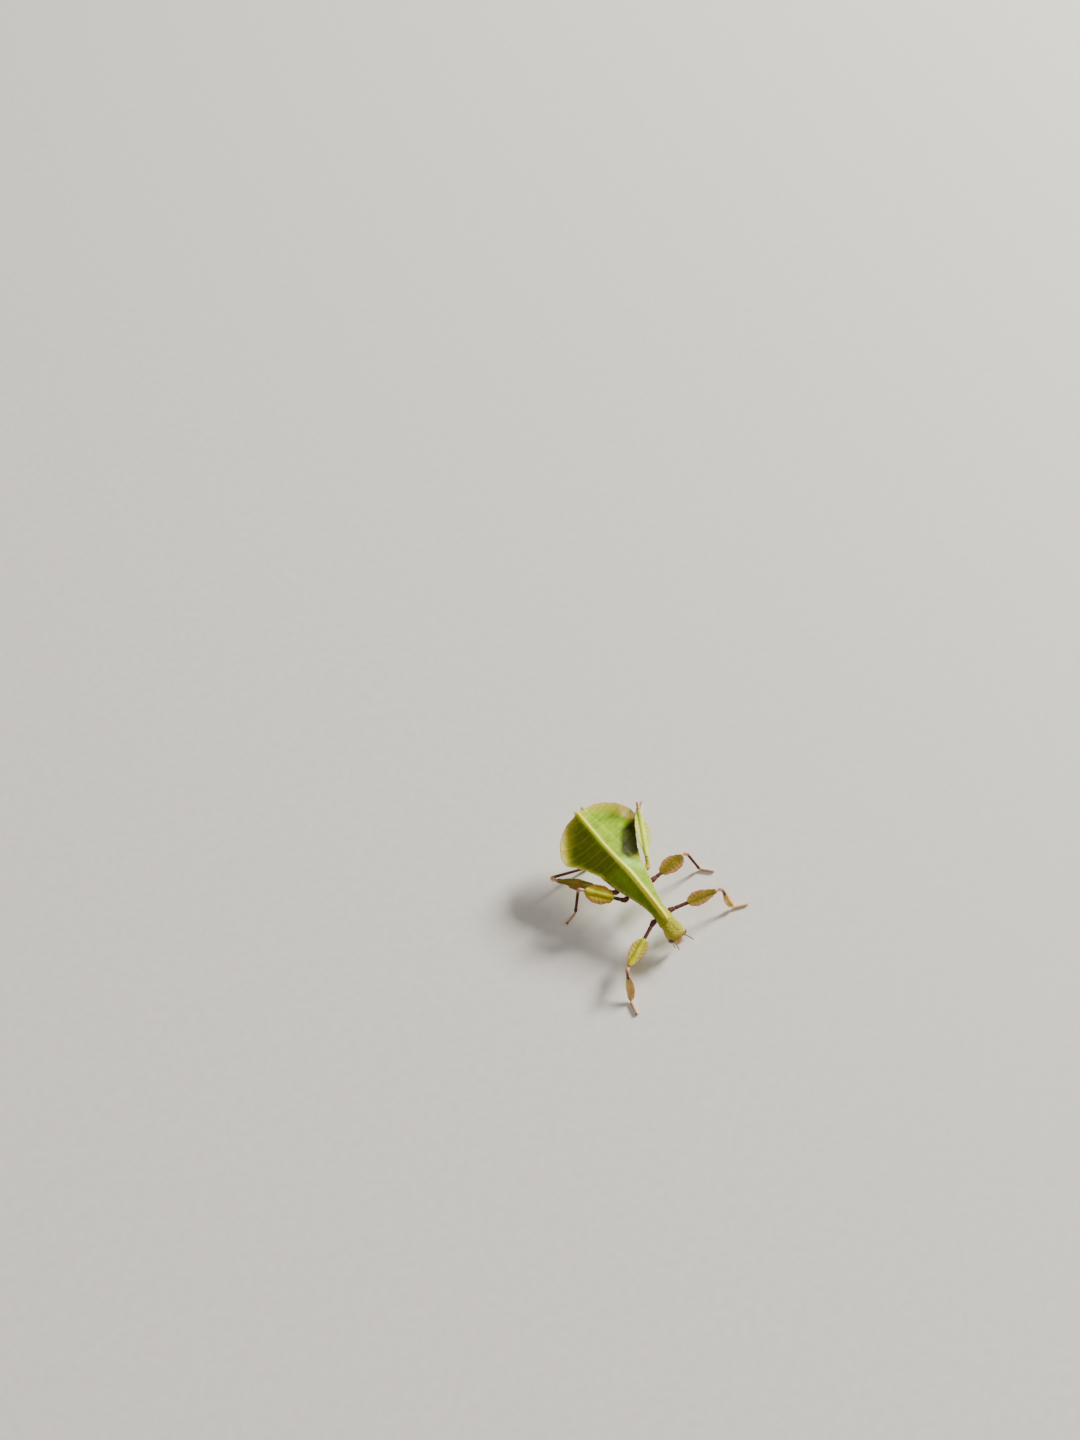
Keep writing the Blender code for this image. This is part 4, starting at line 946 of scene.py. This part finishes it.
for (pair, side), pose in LEG_POSE.items():
    name = f"{pair}_{side}"
    sizes = {part: value * MM for part, value in LEG_SIZES[pair].items()}
    surface_point, out_way = flank(sizes["y"], -math.radians(pose["root"]))
    root = surface_point + out_way * JOINT_GAP
    femur_way = direction(*pose["femur"])
    knuckle = root + out_way * (BEND_START + corner_length(out_way, femur_way))
    hip = knuckle + femur_way * (sizes["coxa"] - BEND_START)
    femur_start = hip + femur_way * JOINT_GAP
    knee = femur_start + femur_way * sizes["femur"]
    down_way = femur_way
    for _ in range(6):
        elbow = knee + femur_way * (JOINT_GAP + BEND_START + corner_length(femur_way, down_way))
        fall = math.asin(min(0.995, (elbow[2] - HEEL_Z) / sizes["shin"]))
        down_way = direction(pose["shin"], -math.degrees(fall))
    heel = elbow + down_way * sizes["shin"]
    tarsus_way = direction(pose["tarsus"], 0)
    toe = heel + tarsus_way * sizes["tarsus"] * FOOT_SHARE
    line = rounded([surface_point - out_way * ROOT_SUNK, knuckle, elbow, heel, toe])
    run = np.concatenate([[0], np.cumsum(np.linalg.norm(np.diff(line, axis=0), axis=1))])
    place = np.linspace(0, run[-1], LEG_ROWS)
    path = np.stack([np.interp(place, run, column) for column in line.T], -1)
    marks = [surface_point, hip, femur_start, knee, elbow, heel]
    skin_at, hip_at, femur_at, knee_at, elbow_at, ankle_at = (
        place[np.argmin(np.linalg.norm(path - mark, axis=1))] for mark in marks)
    toe_at = place[-1]

    # Directions across the leg: with the thigh's lobes first, and level at the foot
    tilt = math.radians(pose["tilt"])
    aside = np.cross(direction(pose["femur"][0], 0), (0, 0, 1)) * math.cos(tilt) + (0, 0, math.sin(tilt))
    tangent, wide, up = carried(path, aside)
    twist = SHIN_TWIST.get((pair, side), 0.0) * (smooth_step(place, knee_at, elbow_at + 0.3 * MM))[:, None]
    wide = wide * np.cos(twist) + up * np.sin(twist)
    level = np.cross(tarsus_way, (0, 0, 1))
    level = level - tangent * (tangent @ level)[:, None]
    level *= np.sign(level @ wide[-1])[:, None]
    at_foot = smooth_step(place, ankle_at - 0.8 * MM, ankle_at)[:, None]
    wide = wide * (1 - at_foot) + level * at_foot
    wide -= tangent * (wide * tangent).sum(axis=1, keepdims=True)
    wide /= np.linalg.norm(wide, axis=1, keepdims=True)
    up = np.cross(tangent, wide)

    shaft = stepped(place, [
        (0, 0.10 * MM), (skin_at - 0.1 * MM, 0.16 * MM), (skin_at + 0.28 * MM, COXA_RADIUS * 1.08),
        (hip_at - 0.35 * MM, 0.24 * MM),
        (hip_at - 0.20 * MM, 0.17 * MM), (hip_at - 0.05 * MM, 0.21 * MM), (femur_at + 0.05 * MM, 0.18 * MM),
        (knee_at - 1.2 * MM, SHAFT_RADIUS), (knee_at - 0.15 * MM, 0.24 * MM), (knee_at + 0.08 * MM, 0.15 * MM),
        (elbow_at, 0.20 * MM), (elbow_at + 0.5 * MM, 0.155 * MM), (ankle_at - 0.9 * MM, 0.14 * MM),
        (ankle_at - 0.30 * MM, 0.17 * MM), (ankle_at - 0.12 * MM, 0.10 * MM), (ankle_at + 0.05 * MM, 0.11 * MM)])
    foot_share = np.clip((place - ankle_at) / (toe_at - ankle_at), 0, 1)
    on_foot = smooth_step(place, ankle_at - 0.1 * MM, ankle_at + 0.1 * MM)
    shaft = shaft * (1 - on_foot) + bead_radii(foot_share, FOOT_JOINTS, FOOT_RADII) * MM * on_foot
    thigh_share = np.clip((place - femur_at) / (knee_at - femur_at), 0, 1)
    front_share, rear_share = (stepped(thigh_share, stops) for stops in LOBE_STOPS[pair])
    spread = np.maximum(front_share, rear_share)
    tooth = (place / (0.42 * MM)) % 1 - 0.5
    teeth = 1 + 0.06 * tooth * smooth_step(spread, 0.3, 0.6)
    shin_share = np.clip((place - elbow_at) / (ankle_at - elbow_at), 0, 1)
    shin_spread = np.sin(math.pi * np.clip((shin_share - 0.18) / 0.84, 0, 1))
    front = np.maximum(shaft, sizes["front_lobe"] * front_share * teeth) + sizes["shin_lobe"] * shin_spread
    rear = np.maximum(shaft, sizes["rear_lobe"] * rear_share * teeth) + sizes["shin_lobe"] * shin_spread / 2

    # Section: a thin slab with a round shaft in it, ribs across the lobes, pads below
    around = np.linspace(0, math.tau, LEG_AROUND, endpoint=False)
    half = np.where(around < math.pi, around, math.tau - around)
    reach = 0.5 * np.cos(half) + 0.5 * (1 - 2 * half / math.pi)
    face = np.where(around < math.pi, 1.0, -1.0)
    side_way = np.where(reach > 0, front[:, None], rear[:, None]) * reach
    lobed = np.clip((np.maximum(front, rear) - shaft)[:, None] / (0.15 * MM), 0, 1)
    thin = np.minimum(LOBE_THICKNESS / 2, shaft[:, None])
    bulge = np.clip(1 - (side_way / (shaft[:, None] * (1 + 0.5 * lobed))) ** 2, 0, 1) ** (0.5 + 0.4 * lobed)
    slab = np.sqrt(np.clip(1 - np.abs(reach) ** 6, 0, 1))
    lift = thin * slab + (shaft[:, None] - thin) * bulge
    rib_phase = (place[:, None] + 0.35 * np.abs(side_way)) / (0.45 * MM)
    shin_part = (shin_spread ** 0.5 * (sizes["shin_lobe"] > 0))[:, None]
    rib = hump(rib_phase - np.round(rib_phase), 0, 0.16) * np.maximum(
        spread[:, None], 0.6 * shin_part) * smooth_step(np.abs(side_way), 0.2 * MM, 0.4 * MM)
    foot_pads = 1 + 0.75 * (on_foot[:, None] * (face[None, :] * np.sign(up[-1, 2]) < 0))
    lift = (lift * foot_pads + 0.018 * MM * rib) * face
    droop = -0.10 * np.abs(reach) ** 2 * spread[:, None] * front[:, None]
    ring = (path[:, None] + side_way[..., None] * wide[:, None] + (lift + droop)[..., None] * up[:, None])
    ring[..., 2] = np.maximum(ring[..., 2], 0)
    mirror = np.array([1 if side == "left" else -1, 1, 1])

    thigh_part = smooth_step(spread, 0.10, 0.30)[:, None]
    lobe_part = smooth_step(np.abs(side_way), shaft[:, None] * 1.2, np.maximum(front, rear)[:, None] * 0.97)
    leg = lay_skin(f"{name}_leg", leg_finish(f"{name}_skin", *LEG_TONES_WITH_PAINTED_SHADE[(pair, side)]), (ring * mirror, {
        "leaf": thigh_part,
        "rim": lobe_part * thigh_part,
        "edge": smooth_step(np.abs(reach), 0.93, 1.0) * np.maximum(thigh_part, shin_part),
        "rib": rib,
        "root": (1 - smooth_step(place, femur_at, femur_at + 0.3 * MM))[:, None],
        "knee": hump(place, (knee_at + elbow_at) / 2, 0.5 * MM)[:, None],
        "orange": shin_part,
        "foot": smooth_step(place, ankle_at - 0.4 * MM, ankle_at)[:, None],
        "spot": hump(shin_share, 0.24, 0.06)[:, None] * hump(reach, 0.3, 0.4) * (pair == "front"),
    }))
    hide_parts(f"{name}_coxa", f"{name}_femur", f"{name}_tibia", f"{name}_tarsus")
    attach(leg, "root")

    # Two curved claws with a soft pad between them at the toe
    step = np.linspace(0, 1, 24)
    across_way = np.cross(tarsus_way, (0, 0, 1))
    claws = []
    for sign in (1, -1):
        hook = (toe + np.outer(0.24 * MM * step - 0.03 * MM, tarsus_way)
                + np.outer(sign * (0.04 + 0.10 * np.sin(math.pi * 0.6 * step)) * MM, across_way))
        hook[:, 2] = 0.14 * MM + 0.06 * MM * np.sin(math.pi * step) - 0.125 * MM * step ** 2
        thickness = (0.040 * (1 - step) ** 0.7 + 0.004) * MM
        claws.append((tube(hook, (0, 0, 1), thickness, thickness, 14) * mirror, {"tip": step[:, None]}))
    pad = ball(toe + tarsus_way * 0.06 * MM - (0, 0, 0.10 * MM), np.array([0.085, 0.085, 0.07]) * MM, 16, 24)
    claws.append((pad * mirror, {"tip": 0.0}))
    claw = lay_skin(f"{name}_claws", claw_finish, *claws)
    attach(claw, "root")
